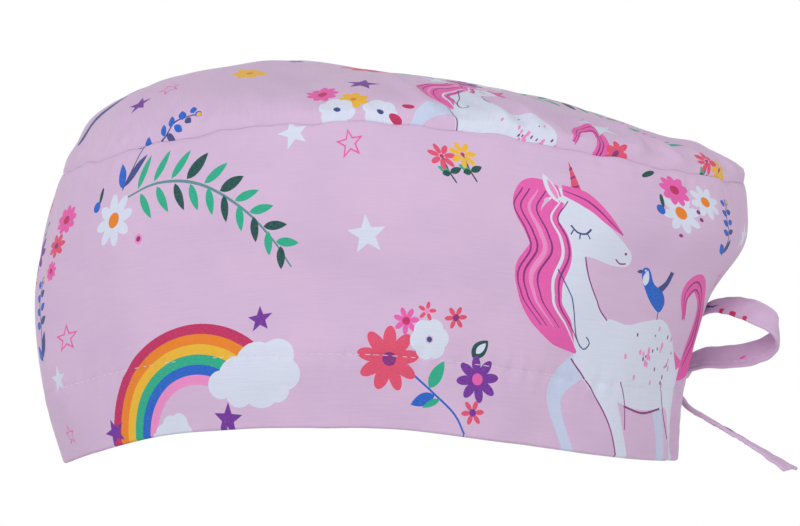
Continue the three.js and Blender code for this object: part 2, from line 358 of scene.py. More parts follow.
def leaf(x: float, y: float, length: float, breadth: float, turn: float) -> Points:
    """A pointed leaf that starts at x, y and runs along turn.

    Args:
        x: its foot, across.
        y: its foot, up.
        length: from foot to tip.
        breadth: at its middle.
        turn: its direction, in degrees.

    Returns:
        Its outline.
    """
    t = np.linspace(0, 1, 9)
    half = breadth / 2 * np.sin(np.pi * t**0.85) ** 0.8
    u = np.concatenate((t, t[-2:0:-1])) * length
    v = np.concatenate((half, -half[-2:0:-1]))
    return turned(x, y, u, v, turn)


def star_outline(outer: float, inner: float, points: int = 5, start: float = 90.0) -> Points:
    """A star.

    Args:
        outer: radius of its tips.
        inner: radius of its notches.
        points: how many tips.
        start: direction of the first tip, in degrees.

    Returns:
        Its outline about 0, 0.
    """
    a = wheel(2 * points, start)
    r = np.where(np.arange(2 * points) % 2 == 0, outer, inner)
    return np.column_stack((r * np.cos(a), r * np.sin(a)))


@dataclass(frozen=True)
class Stamp:
    """One inked patch: an outline in millimetres and its dye."""

    outline: Points
    ink: Ink


@dataclass(frozen=True)
class Motif:
    """A drawing of the print about its own middle. Subclasses draw it."""

    def stamps(self) -> Iterator[Stamp]:
        """The patches, from the lowest to the topmost."""
        raise NotImplementedError

    def at(self, x: float, y: float) -> Iterator[Stamp]:
        """The patches moved by x across and y up."""
        for stamp in self.stamps():
            yield Stamp(stamp.outline + (x, y), stamp.ink)


@dataclass(frozen=True)
class Star(Motif):
    """A five-pointed star, filled or as an outline only."""

    ink: Ink = Ink.VIOLET
    radius: float = 5.0
    hollow: bool = False
    notch: float = 0.42
    line: float = 0.62

    def stamps(self) -> Iterator[Stamp]:
        """The star, and the ground showing inside a hollow one.

        Returns:
            The patches in millimetres.
        """
        inner = self.radius * self.notch
        yield Stamp(star_outline(self.radius, inner), self.ink)
        if self.hollow:
            yield Stamp(star_outline(self.radius - 2.2 * self.line, inner - self.line), Ink.GROUND)


@dataclass(frozen=True)
class Flower(Motif):
    """A round flower with its petals apart."""

    petals: int = 8
    radius: float = 5.0
    ink: Ink = Ink.CORAL
    eye: Ink = Ink.AMBER
    eye_share: float = 0.3
    plump: float = 0.42
    petal_place: float = 0.6
    petal_reach: float = 0.42

    def stamps(self) -> Iterator[Stamp]:
        """Petals, then the eye.

        Returns:
            The patches in millimetres.
        """
        middle, reach = self.radius * self.petal_place, self.radius * self.petal_reach
        for a in wheel(self.petals, 10):
            x, y = middle * math.cos(a), middle * math.sin(a)
            breadth = self.radius * self.plump * 0.5
            yield Stamp(disc(x, y, reach, breadth, math.degrees(a)), self.ink)
        yield Stamp(disc(0, 0, self.radius * self.eye_share), self.eye)


@dataclass(frozen=True)
class Spot(Motif):
    """A dot or a small bud."""

    ink: Ink = Ink.PLUM
    radius: float = 1.0
    stretch: float = 1.0

    def stamps(self) -> Iterator[Stamp]:
        """One disc."""
        yield Stamp(disc(0, 0, self.radius * self.stretch, self.radius), self.ink)


@dataclass(frozen=True)
class LeafyBranch(Motif):
    """An arching branch with leaves in two greens."""

    pairs: int = 10

    def stamps(self) -> Iterator[Stamp]:
        """The stem, then the leaves on either side of it.

        Returns:
            The patches in millimetres.
        """
        stem = [(0, 0), (16, 2.4), (31, 0), (46, -9), (56, -19), (62, -28)]
        yield Stamp(ribbon(stem, [0.6, 0.9, 0.8, 0.5]), Ink.MIST)
        line = smooth_line(stem, False)
        for i in range(self.pairs):
            at = int((0.09 + 0.88 * i / self.pairs) * (len(line) - 1))
            x, y = line[at]
            dx, dy = line[min(at + 1, len(line) - 1)] - line[at - 1]
            ahead = math.degrees(math.atan2(dy, dx))
            size = 10.5 - 0.35 * i
            upper = Ink.PINE if i in (3, 5, 8) else Ink.JADE
            lower = Ink.PINE if i in (2, 5, 7, 9) else Ink.JADE
            plump = 3.8 if i in (3, 5) else 2.9
            yield Stamp(leaf(x, y + 0.7, size, plump, ahead + 66 - 2 * i), upper)
            yield Stamp(leaf(x + 1.5, y - 0.8, size, 2.7, ahead - 68 + 3.5 * i), lower)


@dataclass(frozen=True)
class Sprig(Motif):
    """An upright stem with small blue bells."""

    height: float = 30.0
    bells: int = 4
    ink: Ink = Ink.COBALT

    def stamps(self) -> Iterator[Stamp]:
        """The stem, two long leaves and the bells in pairs.

        Returns:
            The patches in millimetres.
        """
        top = self.height
        yield Stamp(ribbon([(0, 0), (1.5, top * 0.4), (0.5, top * 0.75), (3, top)], 0.55), Ink.NAVY)
        yield Stamp(leaf(0.3, 1.0, top * 0.34, 3.0, 66), Ink.NAVY)
        yield Stamp(leaf(0.0, 0.5, top * 0.26, 3.4, 128), self.ink)
        for i in range(self.bells):
            y = top * (0.42 + 0.17 * i)
            yield Stamp(leaf(1.2, y, 4.4 - 0.4 * i, 2.6, 158), self.ink)
            yield Stamp(leaf(1.4, y + 1, 4.2 - 0.4 * i, 2.4, 24), self.ink if i % 2 else Ink.NAVY)
        yield Stamp(disc(3, top, 0.9), Ink.AMBER)


@dataclass(frozen=True)
class Rainbow(Motif):
    """A rainbow of six bands."""

    radius: float = 38.5
    band: float = 3.15
    start: float = 50.0
    end: float = 178.0

    def stamps(self) -> Iterator[Stamp]:
        """The bands from the outside in.

        Returns:
            The patches in millimetres.
        """
        for i, ink in enumerate((Ink.BERRY, Ink.ORANGE, Ink.AMBER, Ink.JADE, Ink.COBALT, Ink.BLUSH)):
            outer = self.radius - i * self.band
            a = np.radians(np.linspace(self.start, self.end, 40))
            far = np.column_stack((outer * np.cos(a), outer * np.sin(a)))
            yield Stamp(np.vstack((far, far[::-1] * (outer - self.band) / outer)), ink)


@dataclass(frozen=True)
class Cloud(Motif):
    """A cloud of a few soft lobes."""

    width: float = 24.0

    def stamps(self) -> Iterator[Stamp]:
        """Overlapping discs of one dye.

        Returns:
            The patches in millimetres.
        """
        w = self.width
        for x, y, r in (
            (-0.36, -0.1, 0.16), (-0.16, -0.02, 0.22), (0.06, 0.1, 0.24), (0.28, 0.16, 0.2),
            (0.38, -0.02, 0.18), (0.12, -0.16, 0.22), (-0.14, -0.2, 0.16), (0.3, -0.18, 0.14),
        ):
            yield Stamp(disc(x * w, y * w, r * w, r * w * 0.94), Ink.CHALK)


@dataclass(frozen=True)
class Bird(Motif):
    """A small perching bird."""

    ink: Ink = Ink.COBALT

    def stamps(self) -> Iterator[Stamp]:
        """Tail, body, breast patch, beak, eye and legs.

        Returns:
            The patches in millimetres.
        """
        yield Stamp(ribbon([(1.5, -1.0), (5.0, 2.5), (6.6, 6.4)], [2.2, 1.6, 1.3]), Ink.NAVY)
        body = [(-3.6, 5.4), (-1.8, 6.6), (-0.6, 5.2), (0.6, 1.6), (3.6, -0.6), (4.6, -4.0)]
        body += [(2.4, -7.2), (-0.8, -4.4), (-2.8, 0.4)]
        yield Stamp(smooth_line(body, True), self.ink)
        yield Stamp(leaf(-2.6, 0.6, 5.2, 2.0, 78), Ink.CHALK)
        yield Stamp(leaf(-3.2, 5.2, 2.0, 1.2, 196), Ink.NAVY)
        yield Stamp(disc(-2.3, 5.5, 0.35), Ink.CHALK)
        yield Stamp(ribbon([(2.2, -7.0), (2.4, -9.6)], 0.35), Ink.NAVY)


CHALK_BLOOM = Flower(petals=6, radius=6.0, ink=Ink.CHALK, eye=Ink.NAVY, eye_share=0.2, plump=0.95)


@dataclass(frozen=True)
class Posy(Motif):
    """A bunch of flowers with leaves on one stem."""

    def stamps(self) -> Iterator[Stamp]:
        """Stem and leaves first, then the flowers.

        Returns:
            The patches in millimetres.
        """
        yield Stamp(ribbon([(5, -2), (15, -9), (23, -15), (27, -21)], 0.7), Ink.COBALT)
        yield Stamp(leaf(14, -8, 10.0, 4.2, 62), Ink.JADE)
        yield Stamp(leaf(16, -10, 9.0, 4.0, 204), Ink.COBALT)
        yield Stamp(leaf(18, -11, 7.0, 2.0, 208), Ink.JADE)
        yield Stamp(leaf(28, 3, 7.5, 4.8, 50), Ink.PINE)
        yield Stamp(leaf(29.2, 4.3, 4.6, 2.2, 50), Ink.CHALK)
        for x, y, flower in (
            (0, 0, Flower(petals=9, radius=10.0, ink=Ink.CORAL, eye=Ink.PLUM, eye_share=0.22)),
            (5.0, 12.0, Flower(petals=7, radius=4.2, ink=Ink.ROSE, eye=Ink.BERRY)),
            (13.0, 7.0, replace(CHALK_BLOOM, radius=6.4, eye_share=0.14)),
            (11.5, 15.5, Flower(petals=5, radius=3.0, ink=Ink.CORAL, eye=Ink.BLUSH)),
            (21.0, 14.5, Flower(petals=6, radius=3.6, ink=Ink.CORAL, eye=Ink.PLUM)),
            (30.5, -3.5, Flower(petals=8, radius=7.2, ink=Ink.VIOLET, eye=Ink.ROSE, eye_share=0.26)),
            (29.5, -14.0, Flower(petals=6, radius=4.0, ink=Ink.CORAL, eye=Ink.VIOLET)),
        ):
            yield from flower.at(x, y)


@dataclass(frozen=True)
class StemFlowers(Motif):
    """Small flowers side by side on green stems."""

    inks: tuple[Ink, ...] = (Ink.CORAL, Ink.AMBER)

    def stamps(self) -> Iterator[Stamp]:
        """Stems and leaves, then a flower on each.

        Returns:
            The patches in millimetres.
        """
        for i, ink in enumerate(self.inks):
            x, y = 7.5 * i, 1.6 * i
            yield Stamp(ribbon([(x, y), (x + 1.4, y - 5), (x + 3.4, y - 9)], 0.6), Ink.PINE)
            leaves = ((158, 4.4, Ink.JADE), (28, 4.8, Ink.PINE), (196, 3.0, Ink.PINE))
            for turn, length, green in leaves:
                yield Stamp(leaf(x + 1.8, y - 5.6, length, 2.2, turn), green)
            flower = Flower(petals=7, radius=4.8, ink=ink, eye=Ink.BERRY, eye_share=0.16, plump=0.4)
            yield from flower.at(x, y)


@dataclass(frozen=True)
class Unicorn(Motif):
    """A plain standing unicorn of the maker's own drawing, facing right."""

    def stamps(self) -> Iterator[Stamp]:
        """Tail, far legs, body, near legs, neck, head, mane and small marks.

        Returns:
            The patches in millimetres.
        """
        tail = [(33, -4), (43, -12), (51, -11), (55, 0), (52, 11), (44, 16.5), (38, 12), (40, 4)]
        yield Stamp(ribbon(tail, [2, 6, 8, 8, 7, 7, 6, 2]), Ink.ROSE)
        for inset in (2.2, -0.4):
            share = 1 - inset / 14
            strand = [(47 + (x - 47) * share, 2 + (y - 2) * share) for x, y in tail[2:]]
            yield Stamp(ribbon(strand, [0.2, 0.7, 0.7, 0.3]), Ink.PLUM)
        for foot, widths in (
            ([(-9, -14), (-19, -22), (-21, -30), (-17, -46)], [8, 6.5, 4.5, 4.5]),
            ([(30, -20), (32, -33), (30, -48)], [9, 5.5, 5]),
        ):
            yield Stamp(ribbon(foot, widths), Ink.SHELL)
        body = [(-12, -12), (-6, -1), (2, 1), (10, 0), (18, 2), (27, 3), (35, -2), (42, -12), (44, -22)]
        body += [(36, -25), (26, -26), (14, -26), (4, -24), (-6, -20)]
        yield Stamp(smooth_line(body, True, 1.6), Ink.CHALK)
        for foot, widths in (
            ([(-4, -14), (2, -26), (5, -36), (6, -46)], [13, 8.5, 5.5, 5.5]),
            ([(38, -14), (42, -26), (41, -35), (43, -48)], [16, 9, 6, 6]),
        ):
            yield Stamp(ribbon(foot, widths), Ink.CHALK)
        neck = [(-14, -10), (-18, 4), (-19, 16), (-18, 28), (-13, 35), (-7, 34), (-5, 26), (-7.5, 19)]
        neck += [(-6.5, 12), (-3, 4), (2, -1), (-2, -12)]
        yield Stamp(smooth_line(neck, True, 1.6), Ink.CHALK)
        head = [(-16, 36), (-11, 39.5), (-5, 37), (1, 30.5), (7, 25.5), (10, 22), (8.6, 18.4), (2, 18)]
        yield Stamp(smooth_line(head + [(-6, 19.5), (-13, 20), (-17, 27)], True, 1.2), Ink.CHALK)
        yield Stamp(np.array([(-8.4, 38.5), (-4.8, 37.2), (-5.4, 48.0)]), Ink.CORAL)
        for y in (40, 42.6, 45):
            yield Stamp(ribbon([(-7.9 + (y - 40) * 0.3, y), (-5.2, y + 1)], 0.45), Ink.PLUM)
        yield from self.mane()
        yield Stamp(leaf(-13.5, 35, 8.0, 3.4, 103), Ink.CHALK)
        yield Stamp(leaf(-13.3, 36, 5.6, 1.6, 103), Ink.BLUSH)
        for line, width, ink in (
            ([(-11.2, 28.6), (-9.4, 26.6), (-6.8, 26.6), (-5.0, 28.4)], 0.6, Ink.NAVY),
            ([(-10.6, 27.2), (-11.6, 25.6)], 0.4, Ink.NAVY),
            ([(-8.6, 26.4), (-9.0, 24.6)], 0.4, Ink.NAVY),
            ([(-6.4, 26.8), (-5.6, 25.2)], 0.4, Ink.NAVY),
            ([(3.8, 20.2), (5.6, 18.9), (8.0, 19.2)], 0.5, Ink.PLUM),
            ([(-7.4, 19.2), (-6.4, 12), (-3, 4.4), (1.2, 0.4)], 0.5, Ink.PLUM),
            ([(-13, -13), (-5, -22), (1, -33), (3, -46)], 0.6, Ink.PLUM),
            ([(9, -25.6), (20, -27.2), (33, -25.4)], 0.7, Ink.PLUM),
            ([(33, -17), (35.6, -27), (37, -35)], 0.5, Ink.PLUM),
            ([(8, -18), (9.6, -25), (8.6, -33)], 0.5, Ink.PLUM),
            ([(-17, 14), (-13, 4), (-11, -6), (-8, -9.6), (-5.6, -7.4), (-7, -5.6)], 0.45, Ink.NAVY),
        ):
            yield Stamp(ribbon(line, width), ink)
        yield Stamp(disc(7.6, 22.4, 0.5), Ink.PLUM)
        yield from self.dapples()

    @staticmethod
    def mane() -> Iterator[Stamp]:
        """Locks from the forehead down the neck, with darker and paler strands.

        Returns:
            The patches in millimetres.
        """
        outer = [(-12, 38.5), (-19, 38), (-23.5, 32), (-21.5, 25), (-21, 19), (-27, 11), (-27, 4)]
        outer += [(-21, -4), (-11, -11)]
        inner = [(-13, 36), (-17.5, 30), (-15.5, 24), (-15.5, 18), (-20, 10), (-20.5, 3), (-16, -3)]
        inner += [(-12, -9)]
        yield Stamp(ribbon(outer, [3, 7, 8.5, 8.5, 8.5, 9.5, 10, 8, 1]), Ink.ROSE)
        yield Stamp(ribbon(inner, [3, 5, 6.5, 7, 7.5, 7, 6, 1]), Ink.ROSE)
        for shift, width, ink in (
            (-3.8, 0.5, Ink.PLUM), (-1.8, 0.6, Ink.PLUM), (0.6, 1.5, Ink.BLUSH), (2.8, 0.6, Ink.PLUM)
        ):
            yield Stamp(ribbon([(x + shift, y) for x, y in outer[1:-1]], [0.3, width, width, 0.3]), ink)
        for shift, width, ink in ((0.6, 1.0, Ink.CHALK), (2.6, 0.6, Ink.PLUM)):
            yield Stamp(ribbon([(x + shift, y) for x, y in inner], [0.3, width, width, 0.3]), ink)
        forelock = [(-11, 39), (-4, 37), (1.5, 32), (6, 28.4)]
        yield Stamp(ribbon(forelock, [3, 5.2, 3.8, 0.6]), Ink.ROSE)
        yield Stamp(ribbon(forelock, [0.2, 0.7, 0.2]), Ink.PLUM)

    @staticmethod
    def dapples() -> Iterator[Stamp]:
        """Small spots over the rump.

        Returns:
            The patches in millimetres.
        """
        rng = np.random.default_rng(4)
        for _ in range(34):
            x, y = rng.normal(27, 8), rng.normal(-8, 5.5)
            if x < 40 and y < 0.5:
                tall = rng.uniform(0.4, 1.3)
                yield Stamp(disc(x, y, tall, tall * 0.6, 90), Ink.BLUSH if tall > 0.8 else Ink.PLUM)


@dataclass(frozen=True)
class Bundle(Motif):
    """Other motifs printed together, each at its own place."""

    parts: tuple["Placed", ...] = ()

    def stamps(self) -> Iterator[Stamp]:
        """Every part's patches."""
        for part in self.parts:
            yield from part.stamps()


@dataclass(frozen=True)
class Placed:
    """A motif where it is printed."""

    motif: Motif
    across: float
    up: float
    turn: float = 0.0
    size: float = 1.0
    stretch: float = 1.0
    skew: float = 0.0

    def stamps(self) -> Iterator[Stamp]:
        """The motif's patches at their place on the flat cloth. A stretch below 0 turns it over.

        Returns:
            The patches in millimetres.
        """
        a = math.radians(self.turn)
        spin = self.size * np.array(((math.cos(a), math.sin(a)), (-math.sin(a), math.cos(a))))
        spin = spin @ np.array(((self.stretch, 0), (self.skew, 1)))
        for stamp in self.motif.stamps():
            yield Stamp(stamp.outline @ spin + (self.across, self.up), stamp.ink)


# ---------------------------------------------------------------- the form of the cap

RING_COLUMNS = ("front_y", "front_z", "side_x", "side_z", "back_y", "back_z", "middle_y", "ridge_y")
RINGS = np.array(
    (
        (-98.3, 0.0, 79.0, 14.7, 101.6, 1.5, 8.0, -5.0),
        (-103.9, 18.1, 81.1, 33.4, 102.8, 20.3, 8.0, -5.0),
        (-106.9, 36.9, 82.3, 52.3, 107.4, 38.5, 8.0, -5.0),
        (-107.3, 55.9, 82.2, 71.0, 114.4, 56.2, 8.0, -5.0),
        (-104.4, 74.8, 79.8, 89.8, 124.5, 72.0, 8.0, -5.0),
        (-99.1, 93.2, 74.0, 108.4, 124.2, 90.2, 8.0, -5.0),
        (-95.0, 103.0, 71.5, 113.0, 121.5, 95.5, 6.0, -6.0),
        (-89.2, 112.8, 66.0, 117.0, 113.0, 101.0, 3.0, -8.0),
        (-77.0, 120.7, 54.0, 121.5, 90.2, 108.6, -2.0, -11.0),
        (-60.0, 126.5, 38.0, 125.8, 60.0, 118.2, -8.0, -14.0),
        (-40.0, 129.7, 18.0, 129.3, 20.0, 126.7, -15.0, -17.0),
        (-20.0, 130.3, 0.0, 130.3, -20.0, 130.3, -20.0, -20.0),
    )
)
SEAM_RING = 5
LAST_RING = len(RINGS) - 1
BAND_HEIGHT = 94.0
HEM_HEIGHT = 22.0
SLIT_HEIGHT = 47.0
SLIT_WIDTH = 20.0
SLIT_TAPER = 0.8
SEAM_GAP = 0.6
SEAM_SINK = 0.5
SEAM_ROLL = 0.7
SEAM_WANDER_REACH = 5.0

# Waves of the seam's line: height, how many go round the head, shift.
SEAM_WAVES = ((0.32, 17, 1.1), (0.24, 31, 0.4), (0.2, 53, 2.6))

# Gathers of the crown: turn, lean, height, width, reach.
GATHERS = np.array(
    (
        (99, -10, 1.3, 5.0, 0.62), (111, -9, 1.0, 4.0, 0.5), (122, -9, 1.7, 4.5, 0.7),
        (133, -7, 1.2, 3.8, 0.5), (144, -6, 1.8, 4.2, 0.66), (154, -4, 1.3, 3.6, 0.5),
        (165, -2, 1.7, 4.0, 0.6), (176, 0, 1.3, 3.6, 0.5), (187, 2, 1.7, 4.0, 0.62),
        (199, 4, 1.2, 3.8, 0.5), (210, 6, 1.8, 4.4, 0.68), (222, 7, 1.2, 3.8, 0.52),
        (234, 8, 1.6, 4.6, 0.66), (247, 9, 1.0, 4.2, 0.5), (260, 10, 1.2, 5.0, 0.6),
    )
)

# Upright folds of the band beside the slit: across, height, width, top.
BACK_FOLDS = np.array(
    (
        (0, -9.0, 9.0, 60), (15, 2.2, 4.2, 66), (20.5, -1.0, 2.6, 52), (26, 0.9, 3.4, 60),
        (-20, -3.2, 13.0, 62), (-13, 0.4, 3.4, 58), (-33, 0.8, 4.0, 60),
    )
)

def smoothstep(value: Points, low: float, high: float | Points) -> Points:
    """0 below low, 1 above high, and an even S between them."""
    t = np.clip((value - low) / (high - low), 0, 1)
    return t * t * (3 - 2 * t)


def bump(offset: Points, width: float | Points) -> Points:
    """A bell of height 1."""
    return np.exp(-((offset / width) ** 2))


def ring_values(ring: Points) -> dict[str, Points]:
    """The columns of RINGS at heights that may lie between two rings.

    Args:
        ring: heights, as ring numbers.

    Returns:
        Each column's values by name.
    """
    below = np.clip(np.floor(ring), 0, LAST_RING - 1).astype(int)
    t = (ring - below)[..., None]
    table = np.vstack((2 * RINGS[0] - RINGS[1], RINGS, 2 * RINGS[-1] - RINGS[-2]))
    p0, p1, p2, p3 = (table[below + i] for i in range(4))
    bend = (2 * p0 - 5 * p1 + 4 * p2 - p3) / 2
    values = p1 + t * ((p2 - p0) / 2 + t * (bend + t * (3 * p1 - p0 - 3 * p2 + p3) / 2))
    return {name: values[..., i] for i, name in enumerate(RING_COLUMNS)}


def smooth_form(turn: Points, ring: Points) -> Points:
    """The cap without its folds.

    Args:
        turn: angle from the front round the wearer's left, in radians.
        ring: height, as a ring number.

    Returns:
        Points in millimetres.
    """
    at = ring_values(ring)
    ahead = np.cos(turn)
    end = np.where(ahead > 0, at["front_y"], at["back_y"])
    y = at["middle_y"] + (end - at["middle_y"]) * np.abs(ahead)
    front = y < at["ridge_y"]
    # The edge falls steadily to the front, and in an S behind the highest place of the side.
    reach = np.where(front, at["front_y"], at["back_y"]) - at["ridge_y"]
    t = np.clip((y - at["ridge_y"]) / np.where(np.abs(reach) < 1e-9, 1, reach), 0, 1)
    power = np.maximum(2, 3 - ring / SEAM_RING)
    fall = np.where(front, t**power, (t**1.7 + t * t * (3 - 2 * t)) / 2)
    low = np.where(front, at["front_z"], at["back_z"])
    z = at["side_z"] - (at["side_z"] - low) * fall
    return np.stack((at["side_x"] * np.sin(turn), y, z), axis=-1)


def form_normals(turn: Points, ring: Points, probe: float = 0.02) -> Points:
    """Outward normals of the cap without its folds.

    Args:
        turn: angles in radians.
        ring: heights, as ring numbers.
        probe: the step of the differences.

    Returns:
        Unit vectors.
    """
    high = np.minimum(ring + probe, LAST_RING - probe)
    around = smooth_form(turn + probe, high - probe) - smooth_form(turn - probe, high - probe)
    up = smooth_form(turn, high) - smooth_form(turn, high - 2 * probe)
    return unit(np.cross(around, up))


def seam_wander(turn: Points, away: Points) -> Points:
    """How far the seam and the cloth beside it wander up and down.

    Args:
        turn: angles in radians.
        away: distances from the seam, in millimetres.

    Returns:
        Offsets in millimetres, as vectors.
    """
    wave = sum(height * np.sin(count * turn + shift) for height, count, shift in SEAM_WAVES)
    rise = wave * np.exp(-np.abs(away) / SEAM_WANDER_REACH)
    return np.stack((np.zeros_like(rise), np.zeros_like(rise), rise), axis=-1)


def fold_height(turn: Points, ring: Points) -> Points:
    """How far the main folds stand out of the smooth form.

    Args:
        turn: angles in radians.
        ring: heights, as ring numbers.

    Returns:
        Heights in millimetres.
    """
    smooth = smooth_form(turn, ring)
    climbed = (ring - SEAM_RING) / (LAST_RING - SEAM_RING)
    radius = np.hypot(smooth[..., 0], smooth[..., 1] - ring_values(ring)["middle_y"])
    crown = np.zeros_like(turn)
    for fold_turn, lean, height, width, reach in GATHERS:
        other = np.radians(fold_turn + lean * climbed)
        away = np.arctan2(np.sin(turn - other), np.cos(turn - other))
        shape = bump(away * radius, width * (1 + np.maximum(climbed, 0)))
        crown += height * shape * smoothstep(climbed, 0, 0.12) * (1 - smoothstep(climbed, 0.2, reach))
    risen = ring / SEAM_RING * BAND_HEIGHT
    band = np.zeros_like(turn)
    for across, height, width, top in BACK_FOLDS:
        band += height * bump(smooth[..., 0] - across, width) * (1 - smoothstep(risen, top / 3, top))
    return np.where(ring >= SEAM_RING, crown, np.where(np.cos(turn) < 0, band, 0))


def finished_form(turn: Points, ring: Points, relief: Points, from_seam: Points) -> Points:
    """The cap with its main folds, its relief and its wandering seam.

    Args:
        turn: angles in radians.
        ring: heights, as ring numbers.
        relief: how far the finer folds stand out, in millimetres.
        from_seam: distances from the seam, in millimetres.

    Returns:
        Points in millimetres.
    """
    lift = (fold_height(turn, ring) + relief)[:, None]
    lifted = smooth_form(turn, ring) + form_normals(turn, ring) * lift
    return lifted + seam_wander(turn, from_seam)


@dataclass(frozen=True)
class Waves:
    """A seeded sum of soft waves over the flat cloth, with the range of their lengths each way."""

    seed: int
    across: tuple[float, float]
    up: tuple[float, float]
    count: int
    size: float

    def height(self, flat: Points) -> Points:
        """Values from about -size to size at flat places.

        Args:
            flat: places on the cloth.

        Returns:
            One height for each.
        """
        rng = np.random.default_rng(self.seed)
        total = np.zeros(len(flat))
        for _ in range(self.count):
            kx = 2 * math.pi / rng.uniform(*self.across) * rng.choice((-1, 1))
            ky = 2 * math.pi / rng.uniform(*self.up)
            total += np.sin(kx * flat[:, 0] + ky * flat[:, 1] + rng.uniform(0, 2 * math.pi))
        return self.size * (total / math.sqrt(self.count))


@dataclass(frozen=True)
class Crease:
    """A soft fold drawn on the flat cloth, from start to end, fading at both."""

    start: tuple[float, float]
    end: tuple[float, float]
    height: float
    width: float

    def lift(self, flat: Points) -> Points:
        """Its height at flat places, in millimetres.

        Args:
            flat: places on the cloth.

        Returns:
            One height for each.
        """
        a, b = np.array(self.start), np.array(self.end)
        line = b - a
        length = np.hypot(*line)
        u = ((flat - a) @ line) / length**2
        v = ((flat - a) @ (-line[1], line[0])) / length
        swell = smoothstep(u, 0, 0.55) * (1 - smoothstep(u, 0.92, 1.2))
        return self.height * bump(v, self.width) * swell


# Wide shallow dents of the band where the cloth hangs free of the head.
BAND_DENTS: tuple[Crease, ...] = (
    Crease((36, 62), (160, 38), -3.4, 16.0),
    Crease((96, 10), (170, 30), 1.5, 8.0),
    Crease((-150, 30), (-50, 58), -3.0, 15.0),
    Crease((150, 84), (215, 34), 0.9, 7.0),
    Crease((-180, 78), (-230, 20), 1.1, 8.0),
)

# Soft folds that run over both sides of the crown down into the seam.
CROWN_CREASES: tuple[Crease, ...] = (
    Crease((30, 22), (80, 46), 1.9, 2.6),
    Crease((40, 34), (80, 56), -1.2, 2.4),
    Crease((36, 44), (78, 72), 1.7, 2.6),
    Crease((34, 54), (76, 82), 2.3, 2.8),
    Crease((36, 70), (72, 92), -1.6, 2.6),
    Crease((34, 78), (70, 101), 2.0, 2.6),
    Crease((24, 90), (62, 116), 2.2, 3.0),
    Crease((10, 104), (50, 130), -1.4, 3.4),
    Crease((4, 116), (36, 144), 1.4, 3.0),
    Crease((36, 0), (82, 12), -0.9, 3.2),
    Crease((38, -16), (80, -12), 0.8, 3.4),
    Crease((40, -34), (70, -48), 1.1, 2.8),
    Crease((30, -56), (54, -76), 0.9, 3.0),
    Crease((-30, 36), (-80, 50), 1.6, 2.8),
    Crease((-34, 62), (-74, 84), -1.4, 2.8),
    Crease((-30, 80), (-68, 104), 1.9, 3.0),
    Crease((-16, 98), (-50, 128), 1.5, 3.2),
)


# ---------------------------------------------------------------- cloth as closed meshes


def new_object(name: str, verts: Points, faces: Sequence[Sequence[int]]) -> bpy.types.Object:
    """Puts a smooth-shaded mesh into the scene.

    Args:
        name: its name.
        verts: places in millimetres.
        faces: the vertices of each face.

    Returns:
        The mesh object, in metres.
    """
    mesh = bpy.data.meshes.new(name)
    mesh.from_pydata((verts * MM).tolist(), [], faces)
    mesh.polygons.foreach_set("use_smooth", np.ones(len(faces), bool))
    made = bpy.data.objects.new(name, mesh)
    bpy.context.scene.collection.objects.link(made)
    return made


